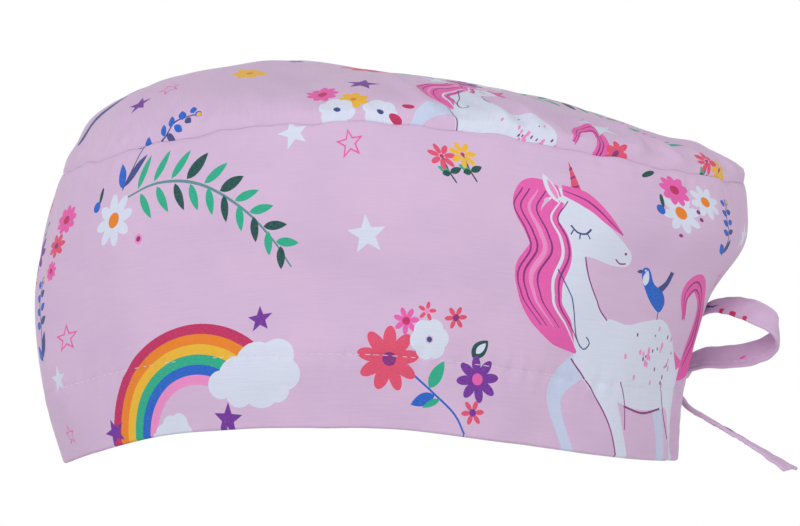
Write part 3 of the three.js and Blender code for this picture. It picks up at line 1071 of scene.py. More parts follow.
@dataclass
class Panel:
    """A cut piece of printed cloth. Subclasses give its cut, its form and its print."""

    name: str = "panel"
    step: float = 2.0
    show_through: float = 0.22
    edge_rows: int = 4

    def cut(self) -> Points:
        """The outline of the flat cloth, anticlockwise."""
        raise NotImplementedError

    def outer(self, flat: Points) -> Points:
        """Where the outer face lies, in millimetres."""
        raise NotImplementedError

    def thickness(self, flat: Points) -> Points:
        """How thick the cloth is at flat places."""
        raise NotImplementedError

    def print_plan(self) -> list[Placed]:
        """The motifs printed on it."""
        return []

    def inner_print(self, flat: Points) -> Points:
        """How strongly the print shows on the inner face, from 0 to 1."""
        return np.full(len(flat), self.show_through)

    def chart(self, flat: Points, inner: bool) -> Points:
        """Where flat places lie on the bake map.

        Args:
            flat: places on the cloth, one for each face corner, three to a face.
            inner: whether they are on the inner face.

        Returns:
            Map places from 0 to 1.
        """
        raise NotImplementedError

    def inner_flat(self, flat: Points) -> Points:
        """The cloth place whose weave and print an inner place shows."""
        return flat

    def normals(self, flat: Points, probe: float = 0.12) -> tuple[Points, Points, Points]:
        """Outward normals and both tangents of the outer face.

        Args:
            flat: places on the cloth.
            probe: the step of the differences, in millimetres.

        Returns:
            Normals, across tangents and up tangents.
        """
        dx, dy = np.array((probe, 0)), np.array((0, probe))
        across = self.outer(flat + dx) - self.outer(flat - dx)
        up = self.outer(flat + dy) - self.outer(flat - dy)
        return unit(np.cross(across, up)), across, up

    def flat_mesh(self) -> tuple[Points, Points, list[int]]:
        """Cuts the cloth into triangles along its print.

        Returns:
            Flat vertices, triangles, and the number of each triangle's topmost stamp, 0 for none.
        """
        edge = self.cut()
        self.stamp_list = [stamp for placed in self.print_plan() for stamp in placed.stamps()]
        low, high = edge.min(axis=0), edge.max(axis=0)
        rings = [edge]
        kept = []
        for stamp in self.stamp_list:
            line = stamp.outline
            if (line.max(axis=0) < low).any() or (line.min(axis=0) > high).any():
                continue
            rings.append(line if twice_area(line) > 0 else line[::-1])
            kept.append(stamp)
        self.stamp_list = kept
        outline = np.vstack(rings)
        grid = self.grid_points(outline, low, high)
        points = [Vector(p) for p in np.vstack((outline, grid))]
        starts = np.cumsum([0] + [len(ring) for ring in rings])
        faces = [list(range(a, b)) for a, b in zip(starts[:-1], starts[1:])]
        verts, _, tris, _, _, origins = delaunay_2d_cdt(points, [], faces, 0, 1e-5, True)
        flat = np.array([(v.x, v.y) for v in verts])
        inside = [i for i, origin in enumerate(origins) if 0 in origin]
        triangles = np.array([tris[i] for i in inside])
        tops = [max(origins[i]) for i in inside]
        used, index = np.unique(triangles, return_inverse=True)
        return flat[used], index.reshape(-1, 3), tops

    def grid_points(self, outline: Points, low: Points, high: Points) -> Points:
        """An even triangular grid that keeps clear of the outlines.

        Args:
            outline: every outline point.
            low: lowest corner of the cloth.
            high: highest corner.

        Returns:
            The grid's points.
        """
        rows = np.arange(low[1], high[1], self.step * 0.866)
        columns = np.arange(low[0], high[0], self.step)
        x, y = np.meshgrid(columns, rows)
        x = x + (np.arange(len(rows)) % 2)[:, None] * self.step / 2
        grid = np.column_stack((x.ravel(), y.ravel()))
        cell = 0.35 * self.step
        shape = np.ceil((high - low) / cell).astype(int) + 5
        taken = np.zeros(shape, bool)
        spots = np.floor((outline - low) / cell).astype(int) + 2
        spots = spots[((spots > 1) & (spots < shape - 2)).all(axis=1)]
        for dx in (-1, 0, 1):
            for dy in (-1, 0, 1):
                taken[spots[:, 0] + dx, spots[:, 1] + dy] = True
        own = np.clip(np.floor((grid - low) / cell).astype(int) + 2, 0, shape - 1)
        return grid[~taken[own[:, 0], own[:, 1]]]

    def build(self) -> bpy.types.Object:
        """Makes the closed cloth: an outer face, an inner face and rounded edges.

        Returns:
            The mesh object, in metres, with its print, cloth places, map and normals.
        """
        flat, tris, tops = self.flat_mesh()
        outer = self.outer(flat)
        normal, across, up = self.normals(flat)
        thick = self.thickness(flat)
        inner = outer - normal * thick[:, None]
        count = len(flat)
        loop, owners = boundary_loop(tris)
        ahead = flat[np.roll(loop, -1)] - flat[np.roll(loop, 1)]
        ahead /= np.hypot(*ahead.T)[:, None]
        flat_out = np.column_stack((ahead[:, 1], -ahead[:, 0]))
        along = across[loop] * ahead[:, :1] + up[loop] * ahead[:, 1:]
        out = unit(np.cross(along, normal[loop]))
        half = thick[loop, None] / 2
        verts, smooth, places = [outer, inner], [normal, -normal], [flat, flat]
        rows = self.edge_rows
        edge_rows = [loop]
        for k in range(1, rows):
            a = math.pi * k / rows
            lean = normal[loop] * math.cos(a) + out * math.sin(a)
            verts.append(outer[loop] - normal[loop] * half + lean * half)
            smooth.append(lean)
            places.append(flat[loop] + flat_out * (k / rows * math.pi * half))
            edge_rows.append(2 * count + (k - 1) * len(loop) + np.arange(len(loop)))
        edge_rows.append(loop + count)
        faces = [tris, tris[:, ::-1] + count]
        corner_flat = [flat[tris].reshape(-1, 2), flat[tris[:, ::-1]].reshape(-1, 2)]
        arcs = [places[0][loop]] + places[2:] + [flat[loop] + flat_out * (math.pi * half)]
        for lower, upper, fa, fb in zip(edge_rows[:-1], edge_rows[1:], arcs[:-1], arcs[1:]):
            nxt = np.roll(np.arange(len(loop)), -1)
            halves = (
                (lower, upper, upper[nxt], fa, fb, fb[nxt]),
                (lower, upper[nxt], lower[nxt], fa, fb[nxt], fa[nxt]),
            )
            for a, b, c, pa, pb, pc in halves:
                faces.append(np.column_stack((a, b, c)))
                corner_flat.append(np.stack((pa, pb, pc), axis=1).reshape(-1, 2))
        made = new_object(self.name, np.vstack(verts), np.vstack(faces).tolist())
        made.data.normals_split_custom_set_from_vertices(np.vstack(smooth).tolist())
        tops += [tops[i] for i in owners] * (2 * rows)
        self.paint(made.data, len(tris), tops, corner_flat)
        return made

    def paint(
        self, mesh: bpy.types.Mesh, count: int, tops: list[int], corner_flat: list[Points]
    ) -> None:
        """Writes the print, the cloth places and the bake map on the mesh.

        Args:
            mesh: the closed mesh.
            count: how many triangles the outer face has.
            tops: the topmost stamp of each triangle of the outer face, then of the edges.
            corner_flat: flat places for the corners of outer, inner and edge faces.
        """
        inks = np.zeros((len(self.stamp_list) + 1, 4))
        for i, stamp in enumerate(self.stamp_list):
            if stamp.ink is not Ink.GROUND:
                inks[i + 1] = (*stamp.ink.linear(), 1)
        dyes = inks[tops[:count] + tops]
        colour = np.repeat(dyes[:, None], 3, axis=1)
        strength = self.inner_print(corner_flat[1]).reshape(-1, 3)
        colour[count : 2 * count, :, 3] *= strength
        attribute = mesh.color_attributes.new("print", "FLOAT_COLOR", "CORNER")
        attribute.data.foreach_set("color", colour.ravel())
        every = np.vstack(corner_flat)
        every[3 * count : 6 * count] = self.inner_flat(every[3 * count : 6 * count])
        cloth = mesh.attributes.new("cloth", "FLOAT_VECTOR", "CORNER")
        cloth.data.foreach_set("vector", np.column_stack((every, np.zeros(len(every)))).ravel())
        face_places = np.concatenate((corner_flat[0], np.vstack(corner_flat[2:])))
        outer_map = self.chart(face_places, False)
        inner_map = self.chart(corner_flat[1], True)
        uv = np.vstack((outer_map[: 3 * count], inner_map, outer_map[3 * count :]))
        mesh.uv_layers.new(name="OFBake").data.foreach_set("uv", uv.ravel())


def boundary_loop(tris: Points) -> tuple[Points, list[int]]:
    """The open edge of a sheet of triangles.

    Args:
        tris: triangles with their corners anticlockwise.

    Returns:
        Its vertices in order, anticlockwise round the sheet, and the triangle beside each step.
    """
    edges = {}
    for i, (a, b) in enumerate(np.vstack((tris[:, :2], tris[:, 1:], tris[:, ::2][:, ::-1])).tolist()):
        if (b, a) in edges:
            del edges[(b, a)]
        else:
            edges[(a, b)] = i % len(tris)
    follow = {a: (b, owner) for (a, b), owner in edges.items()}
    start = at = min(follow)
    loop, owners = [], []
    while not loop or at != start:
        loop.append(at)
        at, owner = follow[at]
        owners.append(owner)
    return np.array(loop), owners


def strip_chart(
    flat: Points, length: float, rows: int, base: float, scale: float, pitch: float
) -> Points:
    """Lays a long strip on the bake map as shorter strips, one over the other.

    Args:
        flat: corner places, three to a face, with 0 at the strip's middle.
        length: the strip's whole length.
        rows: how many shorter strips.
        base: height of the lowest one on the map.
        scale: map units for a millimetre.
        pitch: map height from one to the next.

    Returns:
        Map places.
    """
    part = length / rows
    middle = flat[:, 0].reshape(-1, 3).mean(axis=1) + length / 2
    row = np.repeat(np.clip(np.floor(middle / part), 0, rows - 1), 3)
    u = 0.012 + (flat[:, 0] + length / 2 - row * part) * scale
    return np.column_stack((u, base + row * pitch + flat[:, 1] * scale))


@dataclass
class Band(Panel):
    """The upright band: one strip that meets at the centre back, over a slit."""

    name: str = "band_cloth"
    step: float = 2.0
    cloth: float = 0.9
    hem_cloth: float = 2.0
    corner: float = 6.0
    calm: float = 0.85
    calm_from: float = 62.0
    calm_by: float = 28.0
    calm_below: tuple[float, float] = (55.0, 75.0)
    loose_below: float = 16.0
    hem_step: float = 0.08
    stitch_sink: float = 0.24
    back_seam_sink: float = 0.5
    soft: Waves = Waves(3, (42, 100), (90, 260), 7, 0.75)
    small: Waves = Waves(5, (15, 32), (40, 120), 9, 0.15)
    rim: Waves = Waves(11, (38, 90), (60, 120), 6, 0.5)
    pucker: Waves = Waves(8, (5, 9), (60, 160), 8, 0.2)
    seam_crimp: Waves = Waves(14, (6, 12), (30, 90), 8, 0.16)

    def __post_init__(self) -> None:
        """Works out the length of the cloth along the band's middle height."""
        self.turns = np.linspace(0, math.pi + 0.1, 1200)
        line = smooth_form(self.turns, np.full(len(self.turns), SEAM_RING / 2))
        self.lengths = lengths_along(line)
        self.half = float(np.interp(math.pi, self.turns, self.lengths))

    def cut(self) -> Points:
        """A strip with rounded lower corners.

        Returns:
            The outline, anticlockwise.
        """
        half, top, r = self.half, BAND_HEIGHT - SEAM_GAP / 2, self.corner
        arc = np.linspace(0, math.pi / 2, 6)
        right = [(half - r + r * math.sin(a), r - r * math.cos(a)) for a in arc]
        corners = [(-x, y) for x, y in reversed(right)] + right + [(half, top), (-half, top)]
        return walk_round(corners, self.step)

    def place(self, flat: Points) -> tuple[Points, Points]:
        """Turn and ring of flat places.

        Args:
            flat: places on the cloth.

        Returns:
            Angles in radians, and ring numbers.
        """
        turn = np.sign(flat[:, 0]) * np.interp(np.abs(flat[:, 0]), self.lengths, self.turns)
        ring = flat[:, 1] / BAND_HEIGHT * SEAM_RING
        gap = SLIT_WIDTH * np.maximum(0, 1 - flat[:, 1] / SLIT_HEIGHT) ** SLIT_TAPER
        cut = np.arcsin(np.maximum(gap, 0.3) / 2 / ring_values(ring)["side_x"])
        return turn * (1 - cut / math.pi), ring

    def relief(self, flat: Points) -> Points:
        """Soft waves, hem, puckers and the turned-in top edge.

        Args:
            flat: places on the cloth.

        Returns:
            How far each stands out, in millimetres.
        """
        s, t = flat.T
        at_back = smoothstep(np.abs(s), self.half - self.calm_from, self.half - self.calm_by)
        calm = 1 - self.calm * at_back * (1 - smoothstep(t, *self.calm_below))
        rim = self.rim.height(flat) * (1 - smoothstep(t, 2, 34))
        pucker = self.pucker.height(flat) * bump(t - HEM_HEIGHT, 4.5)
        hem_step = self.hem_step * (1 - smoothstep(t, HEM_HEIGHT - 1, HEM_HEIGHT + 1))
        stitch = -self.stitch_sink * bump(t - HEM_HEIGHT, 0.9) + hem_step
        from_top = np.maximum(BAND_HEIGHT - t, 0)
        seam = self.seam_crimp.height(flat) * bump(from_top - 5, 4)
        shoulder = -SEAM_SINK * np.exp(-from_top / SEAM_ROLL)
        beside = bump(self.half - np.abs(s), 0.8) * smoothstep(t, SLIT_HEIGHT, SLIT_HEIGHT + 8)
        dents = sum(dent.lift(flat) for dent in BAND_DENTS)
        waves = self.soft.height(flat) + self.small.height(flat) + rim + dents
        loose = waves * smoothstep(from_top, 0, self.loose_below)
        return (loose + seam + pucker) * calm + stitch + shoulder - self.back_seam_sink * beside

    def outer(self, flat: Points) -> Points:
        """The outer face of the band."""
        turn, ring = self.place(flat)
        return finished_form(turn, ring, self.relief(flat), BAND_HEIGHT - flat[:, 1])

    def thickness(self, flat: Points) -> Points:
        """Thick in the hem, thinner above it, with a narrow hem along the slit.

        Args:
            flat: places on the cloth.

        Returns:
            Millimetres for each.
        """
        s, t = flat.T
        hem = 1 - smoothstep(t, HEM_HEIGHT, HEM_HEIGHT + 1.2)
        beside = smoothstep(np.abs(s), self.half - 8, self.half - 7) * (1 - smoothstep(t, 48, 52))
        return self.cloth + (self.hem_cloth - self.cloth) * np.maximum(hem, 0.55 * beside)

    def inner_print(self, flat: Points) -> Points:
        """Full in the hem, where the cloth is turned up, and pale above it."""
        hem = 1 - smoothstep(flat[:, 1], HEM_HEIGHT, HEM_HEIGHT + 0.5)
        return self.show_through + (1 - self.show_through) * hem

    def chart(self, flat: Points, inner: bool) -> Points:
        """Two long rows for the outer face and one smaller for the inner face.

        Args:
            flat: places of face corners, three to a face.
            inner: whether they are on the inner face.

        Returns:
            Map places from 0 to 1.
        """
        length = 2 * self.half + 4
        if inner:
            return strip_chart(flat, length, 1, 0.82, 0.976 / length, 0)
        scale = 0.976 / (length / 2 + 6)
        return strip_chart(flat, length, 2, 0.02, scale, (BAND_HEIGHT + 12) * scale)

    def print_plan(self) -> list[Placed]:
        """The motifs of the band."""
        return BAND_PRINT


@dataclass
class Crown(Panel):
    """The rounded top, one oval of cloth gathered into the seam."""

    name: str = "crown_cloth"
    step: float = 1.8
    cloth: float = 0.9
    gathers: int = 84
    dip: float = 0.6
    soft: Waves = Waves(21, (55, 120), (55, 120), 8, 0.75)
    small: Waves = Waves(23, (16, 34), (16, 34), 9, 0.16)

    def __post_init__(self) -> None:
        """Tables from flat directions and distances to turn and ring, and the small gathers."""
        self.low_ring = SEAM_RING + SEAM_GAP / BAND_HEIGHT * SEAM_RING / 2
        self.turns = np.linspace(-math.pi, math.pi, 721)
        rings = np.linspace(LAST_RING, self.low_ring, 160)
        grid = smooth_form(*np.meshgrid(self.turns, rings, indexing="ij"))
        gone = np.cumsum(np.linalg.norm(np.diff(grid, axis=1), axis=2), axis=1)
        gone = np.hstack((np.zeros((len(self.turns), 1)), gone))
        self.reach = gone[:, -1]
        self.shares = np.linspace(0, 1, 97)
        self.ring_table = np.array([np.interp(self.shares, row / row[-1], rings) for row in gone])
        seam = grid[:, -1] - grid[0, 0]
        self.directions = np.unwrap(np.arctan2(seam[:, 0], -seam[:, 1]))
        self.seam_length = lengths_along(seam)
        rng = np.random.default_rng(17)
        spots = (np.arange(self.gathers) + rng.uniform(-0.36, 0.36, self.gathers)) / self.gathers
        back = 0.5 - 0.5 * np.cos(2 * math.pi * (spots - 0.5))
        self.puckers = np.column_stack(
            (
                spots * self.seam_length[-1],
                rng.uniform(0.25, 0.75, self.gathers) * (0.55 + 0.6 * (1 - back)),
                rng.uniform(1.5, 2.6, self.gathers),
                rng.uniform(9, 26, self.gathers),
                rng.uniform(-0.35, 0.35, self.gathers),
            )
        )

    def cut(self) -> Points:
        """The oval's edge.

        Returns:
            The outline, anticlockwise.
        """
        steps = int(self.seam_length[-1] / self.step)
        turn = np.interp(np.arange(steps) / steps * self.seam_length[-1], self.seam_length, self.turns)
        direction = np.interp(turn, self.turns, self.directions)
        r = np.interp(turn, self.turns, self.reach)
        return np.column_stack((r * np.sin(direction), -r * np.cos(direction)))

    def place(self, flat: Points) -> tuple[Points, Points, Points, Points]:
        """Turn, ring, distance from the seam and place along it, of flat places.

        Args:
            flat: places on the cloth.

        Returns:
            Angles in radians, ring numbers, and both lengths in millimetres.
        """
        direction = np.arctan2(flat[:, 0], -flat[:, 1])
        turn = np.interp(direction, self.directions, self.turns)
        reach = np.interp(turn, self.turns, self.reach)
        r = np.hypot(*flat.T)
        column = (turn + math.pi) / (2 * math.pi) * (len(self.turns) - 1)
        row = np.clip(r / reach, 0, 1) * (len(self.shares) - 1)
        i = np.clip(column.astype(int), 0, len(self.turns) - 2)
        j = np.clip(row.astype(int), 0, len(self.shares) - 2)
        a, b = column - i, row - j
        table = self.ring_table
        ring = (table[i, j] * (1 - a) + table[i + 1, j] * a) * (1 - b)
        ring += (table[i, j + 1] * (1 - a) + table[i + 1, j + 1] * a) * b
        ring -= np.maximum(r / reach - 1, 0) * reach / BAND_HEIGHT * SEAM_RING
        return turn, ring, reach - r, np.interp(turn, self.turns, self.seam_length)

    def relief(self, flat: Points, from_seam: Points, along: Points) -> Points:
        """Small gathers, soft waves and the turned-in edge.

        Args:
            flat: places on the cloth.
            from_seam: their distances from the seam.
            along: their places along the seam.

        Returns:
            How far each stands out, in millimetres.
        """
        total = self.seam_length[-1]
        d = np.maximum(from_seam, 0)
        lift = self.soft.height(flat) * smoothstep(d, 4, 40)
        lift += self.small.height(flat) * smoothstep(d, 0, 8)
        for spot, height, width, length, lean in self.puckers:
            away = (along - spot - lean * d + total / 2) % total - total / 2
            rise = smoothstep(d, 0, 5) * (1 - smoothstep(d, length / 4, length))
            lift += height * bump(away, width * (1 + d / 14)) * rise
        lift += sum(crease.lift(flat) for crease in CROWN_CREASES) * smoothstep(d, 0, 9)
        return lift - self.dip * smoothstep(d, 1, 12) - SEAM_SINK * np.exp(-d / SEAM_ROLL)

    def outer(self, flat: Points) -> Points:
        """The outer face of the crown."""
        turn, ring, from_seam, along = self.place(flat)
        return finished_form(turn, ring, self.relief(flat, from_seam, along), from_seam)

    def thickness(self, flat: Points) -> Points:
        """One layer of cotton."""
        return np.full(len(flat), self.cloth)

    def chart(self, flat: Points, inner: bool) -> Points:
        """The whole oval lying on its side, and a smaller one for the inner face.

        Args:
            flat: places of face corners, three to a face.
            inner: whether they are on the inner face.

        Returns:
            Map places from 0 to 1.
        """
        edge = self.cut()
        low, high = edge.min(axis=0) - 4, edge.max(axis=0) + 4
        scale = 0.97 / (high[1] - low[1])
        turned = np.column_stack((high[1] - flat[:, 1], flat[:, 0] - low[0])) * scale
        if inner:
            room = 0.97 - (high[0] - low[0]) * scale
            smaller = room / ((high[0] - low[0]) * scale)
            return turned * smaller + (0.015, 0.985 - room)
        return turned + (0.015, 0.015)

    def print_plan(self) -> list[Placed]:
        """The motifs of the crown."""
        return CROWN_PRINT


# ---------------------------------------------------------------- the ties


Row = tuple[float, float, float, float, float]

# Routes of the tape: x, y, z, lean of its width from level downwards, share of it that lies open.
LEAD_LEFT: tuple[Row, ...] = (
    (5.1, 97.3, 12.0, 0, 0.6), (4.6, 97.4, 13.4, 0, 0.58), (4.0, 97.6, 16.4, 0, 0.56),
    (3.2, 97.9, 20.0, 0, 0.5),
)
LEAD_RIGHT: tuple[Row, ...] = (
    (-4.8, 96.4, 11.8, 0, 0.6), (-4.2, 96.6, 13.4, 0, 0.55), (-4.0, 96.9, 16.4, 0, 0.6),
    (-3.2, 97.6, 20.0, 0, 0.5),
)
LOOP_LEFT: tuple[Row, ...] = (
    (1.2, 101.6, 30.4, 0, 0.5), (1.4, 102.8, 34.6, 0, 0.6), (1.5, 104.6, 38.0, 0, 0.7),
    (1.6, 106.7, 41.6, 0, 0.75), (2.0, 109.0, 45.4, 2, 0.75), (3.2, 111.8, 48.7, 7, 0.85),
    (7.0, 114.6, 50.0, 13, 0.95), (11.4, 118.0, 50.3, 21, 1), (16.0, 122.0, 49.6, 31, 1),
    (20.0, 126.2, 48.0, 42, 1), (22.0, 129.6, 45.8, 50, 1), (21.4, 131.8, 43.0, 53, 1),
    (18.0, 132.0, 40.0, 53, 1), (13.6, 129.2, 37.2, 51, 1), (9.6, 123.8, 35.3, 49, 1),
    (6.8, 117.0, 34.5, 46, 1), (5.0, 110.8, 34.2, 44, 0.95), (3.6, 106.0, 32.2, 36, 0.8),
    (2.6, 103.2, 28.2, 20, 0.5),
)
LOOP_RIGHT: tuple[Row, ...] = (
    (-4.6, 101.8, 27.6, 84, 0.5), (-10.0, 103.6, 28.8, 86, 0.8), (-20.0, 103.6, 30.2, 88, 1),
    (-31.0, 102.2, 30.6, 90, 1), (-40.0, 99.4, 30.0, 91, 1), (-45.6, 96.4, 29.2, 92, 1),
    (-42.6, 94.8, 28.0, 92, 1), (-34.0, 98.0, 26.6, 92, 1), (-24.0, 100.2, 25.4, 92, 1),
    (-13.0, 101.0, 24.4, 90, 0.8), (-6.4, 99.9, 23.8, 88, 0.5),
)
TAIL_LEFT: tuple[Row, ...] = (
    (3.2, 101.8, 20.4, 0, 0.5), (5.6, 105.2, 16.6, 0, 0.85), (9.2, 110.4, 13.3, 0, 1),
    (13.6, 117.0, 9.5, 0, 1), (18.0, 123.6, 5.7, 2, 1), (22.2, 129.8, 1.9, 8, 1),
    (26.4, 136.2, -2.2, 16, 1),
)
TAIL_RIGHT: tuple[Row, ...] = (
    (-3.0, 101.4, 20.2, 60, 0.5), (-8.0, 101.8, 16.4, 72, 0.85), (-15.0, 100.6, 13.2, 80, 1),
    (-24.0, 98.4, 11.0, 85, 1), (-33.0, 95.6, 9.6, 90, 1), (-41.0, 91.6, 8.6, 94, 1),
    (-48.0, 86.8, 8.0, 98, 1),
)


@dataclass
class Tape(Panel):
    """A folded tape of the cap's own cotton that follows a route."""

    name: str = "tape"
    step: float = 0.85
    route: tuple[Row, ...] = ()
    width: float = 8.0
    cloth: float = 1.2
    thread_inset: float = 1.4
    pleat_height: float = 1.25
    pleats: float = 2.5
    cupping: float = 0.4
    crimp: Waves = Waves(31, (5, 12), (9, 20), 7, 0.12)
    scraps: list[Placed] = field(default_factory=list)

    def __post_init__(self) -> None:
        """The middle line by its length, with the lean and the open share along it."""
        rows = np.array(self.route, float)
        line = smooth_space_curve(rows[:, :3], 12)
        self.stations = lengths_along(line)
        self.line = line
        self.length = float(self.stations[-1])
        knots = np.linspace(0, 1, len(rows))
        at = np.linspace(0, 1, len(line))
        self.leans = np.interp(at, knots, rows[:, 3])
        self.opened = np.interp(at, knots, rows[:, 4])
        self.tangents = unit(np.gradient(line, self.stations, axis=0))

    def cut(self) -> Points:
        """A strip with square ends and softened corners."""
        half, end = self.width / 2, self.length / 2
        return walk_round([(-end, -half), (end, -half), (end, half), (-end, half)], self.step)

    def outer(self, flat: Points) -> Points:
        """The outer face: bunched where the tape is drawn together, slightly cupped where it is open.

        Args:
            flat: places on the tape.

        Returns:
            Points in millimetres.
        """
        at = np.clip(flat[:, 0] + self.length / 2, 0, self.length)
        over = flat[:, 0] + self.length / 2 - at
        middle = sample(at, self.stations, self.line)
        along = unit(sample(at, self.stations, self.tangents))
        lean = np.radians(np.interp(at, self.stations, self.leans))
        share = np.interp(at, self.stations, self.opened)
        across = np.column_stack((np.cos(lean), np.zeros(len(at)), -np.sin(lean)))
        across = unit(across - along * (across * along).sum(axis=1, keepdims=True))
        out = np.cross(across, along)
        b = flat[:, 1]
        half = self.width / 2
        pleat = self.pleat_height * (1 - share) * np.cos(b / half * self.pleats * math.pi)
        pleat *= 1 - 0.3 * (b / half) ** 2
        cup = self.cupping * (b / half) ** 2 * share
        crimp = self.crimp.height(flat) + 0.1 * bump(np.abs(b) - half + 0.5, 0.5)
        groove = 0.16 * bump(np.abs(b) - half + self.thread_inset, 0.35)
        lift = self.cloth / 2 + pleat - cup + crimp - groove
        return middle + along * over[:, None] + across * (b * share)[:, None] + out * lift[:, None]

    def thickness(self, flat: Points) -> Points:
        """Four layers, pressed."""
        return np.full(len(flat), self.cloth)

    def inner_print(self, flat: Points) -> Points:
        """A folded tape shows its print on both faces."""
        return np.ones(len(flat))

    def inner_flat(self, flat: Points) -> Points:
        """The back of the tape shows another stretch of cloth."""
        return flat + (61.0, 17.0)

    def chart(self, flat: Points, inner: bool) -> Points:
        """Two rows for each face.

        Args:
            flat: places of face corners, three to a face.
            inner: whether they are on the inner face.

        Returns:
            Map places from 0 to 1.
        """
        length = self.length + 6
        scale = 0.97 / (length / 2 + 3)
        pitch = (self.width + 6) * scale
        base = 0.02 + (self.width / 2 + 3) * scale + (2 * pitch if inner else 0)
        fit = min(1.0, 0.96 / (4 * pitch))
        return strip_chart(flat, length, 2, base, scale, pitch) * fit

    def print_plan(self) -> list[Placed]:
        """Scraps of the print that the tape was cut through."""
        return self.scraps

    def path(self) -> list[Points]:
        """Points along its middle, in metres."""
        return [p * MM for p in self.line[::3]]


def smooth_space_curve(points: Points, steps: int) -> Points:
    """A soft curve through points in space.

    Args:
        points: the places it passes through.
        steps: how many parts between two of them.

    Returns:
        Points along it, the last one included.
    """
    table = np.vstack((2 * points[0] - points[1], points, 2 * points[-1] - points[-2]))
    t = (np.arange(steps) / steps)[:, None]
    out = []
    for i in range(len(points) - 1):
        out.append(soft_curve(*table[i : i + 4], t))
    return np.vstack(out + [points[-1:]])


@dataclass(frozen=True)
class Knot:
    """The bow's knot: a tight wrap of tape over gathered ends."""

    middle: tuple[float, float, float] = (0.0, 99.4, 25.0)
    radii: tuple[float, float, float] = (5.4, 3.9, 4.8)
    wrap_width: float = 3.4
    wrap_slant: float = 0.9
    core: float = 0.86
    wrap_rise: float = 0.17
    relief: float = 0.05
    ridge: float = 0.28
    pleat: float = 0.42
    columns: int = 96
    rows: int = 60

    def build(self) -> bpy.types.Object:
        """Makes the knot as one closed mesh.

        Returns:
            The mesh object.
        """
        a = np.linspace(0, 2 * math.pi, self.columns, endpoint=False)
        b = np.linspace(0, math.pi, self.rows + 1)[1:-1]
        verts = [self.point(0.0, 0.0)]
        verts += [self.point(x, y) for y in b for x in a]
        verts.append(self.point(0.0, math.pi))
        faces = []
        n, last = self.columns, len(verts) - 1
        for i in range(n):
            j = (i + 1) % n
            faces.append((0, 1 + i, 1 + j))
            for r in range(len(b) - 1):
                k = 1 + r * n
                faces.append((k + i, k + n + i, k + n + j, k + j))
            k = 1 + (len(b) - 1) * n
            faces.append((k + i, last, k + j))
        knot = new_object("knot_wrap", np.array(verts), faces)
        cloth = knot.data.attributes.new("cloth", "FLOAT_VECTOR", "CORNER")
        places = np.array([verts[v] for face in faces for v in face])
        cloth.data.foreach_set("vector", places.ravel())
        dye = knot.data.color_attributes.new("print", "FLOAT_COLOR", "CORNER")
        dye.data.foreach_set("color", np.zeros(4 * len(places)))
        return knot

    def point(self, around: float, down: float) -> tuple[float, float, float]:
        """A place on the knot, whose poles lie left and right.

        Args:
            around: angle round the line from pole to pole, in radians.
            down: angle from the left pole, in radians.

        Returns:
            The place in millimetres.
        """
        x = math.cos(down)
        y, z = math.sin(down) * math.cos(around), math.sin(down) * math.sin(around)
        across = x * self.radii[0]
        tilt = across + self.wrap_slant * math.sin(around)
        wrap = 1 / (1 + math.exp((abs(tilt) - self.wrap_width) * 5))
        ridges = self.ridge * math.cos(tilt * 2.6 + 0.6 * math.sin(2 * around)) * wrap
        pleats = self.pleat * math.cos(7 * around + 1.3 * x) * (1 - wrap) * math.sin(down)
        size = self.core + self.wrap_rise * wrap + self.relief * (ridges + pleats)
        place = (across * (0.97 + 0.03 * wrap), y * self.radii[1] * size, z * self.radii[2] * size)
        return tuple(m + p for m, p in zip(self.middle, place))


# ---------------------------------------------------------------- thread


@dataclass
class Stitching:
    """A row of sewn thread that follows lines on the cloth."""

    name: str
    pitch: float = 2.9
    sewn: float = 2.7
    radius: float = 0.13
    sink: float = 0.02
    arch: float = 0.4
    sides: int = 6
    rings: int = 6

    def build(self, lines: Sequence[tuple[Points, Points]]) -> bpy.types.Object:
        """Makes every stitch as a short thread with its ends in the cloth.

        Args:
            lines: for each row of stitches, points along it and their normals, in millimetres.

        Returns:
            One mesh object of all the stitches.
        """
        verts, faces = [], []
        for line, normals in lines:
            stations = lengths_along(line)
            for start in np.arange(0.4, stations[-1] - self.sewn, self.pitch):
                self.stitch(line, normals, stations, start, verts, faces)
        return new_object(self.name, np.vstack(verts), np.vstack(faces).tolist())

    def stitch(
        self, line: Points, normals: Points, stations: Points, start: float,
        verts: list[Points], faces: list[Points],
    ) -> None:
        """Adds one stitch.

        Args:
            line: points of the row.
            normals: their normals.
            stations: their lengths along the row.
            start: where the stitch starts.
            verts: the vertices so far, which grow.
            faces: the triangles so far, which grow.
        """
        sides, rings = self.sides, self.rings
        share = np.linspace(0, 1, rings)
        at = start + share * self.sewn
        middle, normal = sample(at, stations, line), sample(at, stations, normals)
        side = np.cross(unit(np.gradient(middle, axis=0)), normal)
        swell = np.sin(np.pi * (0.06 + 0.88 * share)) ** 0.45
        middle = middle + normal * ((swell - 0.8) * self.arch - self.sink)[:, None]
        first = sum(len(v) for v in verts)
        for i in range(rings):
            a = wheel(sides)[:, None]
            rim = np.cos(a) * side[i] + np.sin(a) * normal[i]
            verts.append(middle[i] + self.radius * swell[i] * rim)
        block = []
        for i in range(rings - 1):
            for j in range(sides):
                a, b = first + i * sides + j, first + i * sides + (j + 1) % sides
                block += [(a, b, b + sides), (a, b + sides, a + sides)]
        end = first + (rings - 1) * sides
        for j in range(1, sides - 1):
            block += [(first, first + j + 1, first + j), (end, end + j, end + j + 1)]
        faces.append(np.array(block))


# ---------------------------------------------------------------- finishes


def socket_colour(hex_colour: str, strength: float = 1.0) -> tuple[float, float, float, float]:
    """A colour for a shader socket from sRGB hex, dimmed by strength."""
    return (*(c * strength for c in linear_light(hex_colour)), 1.0)


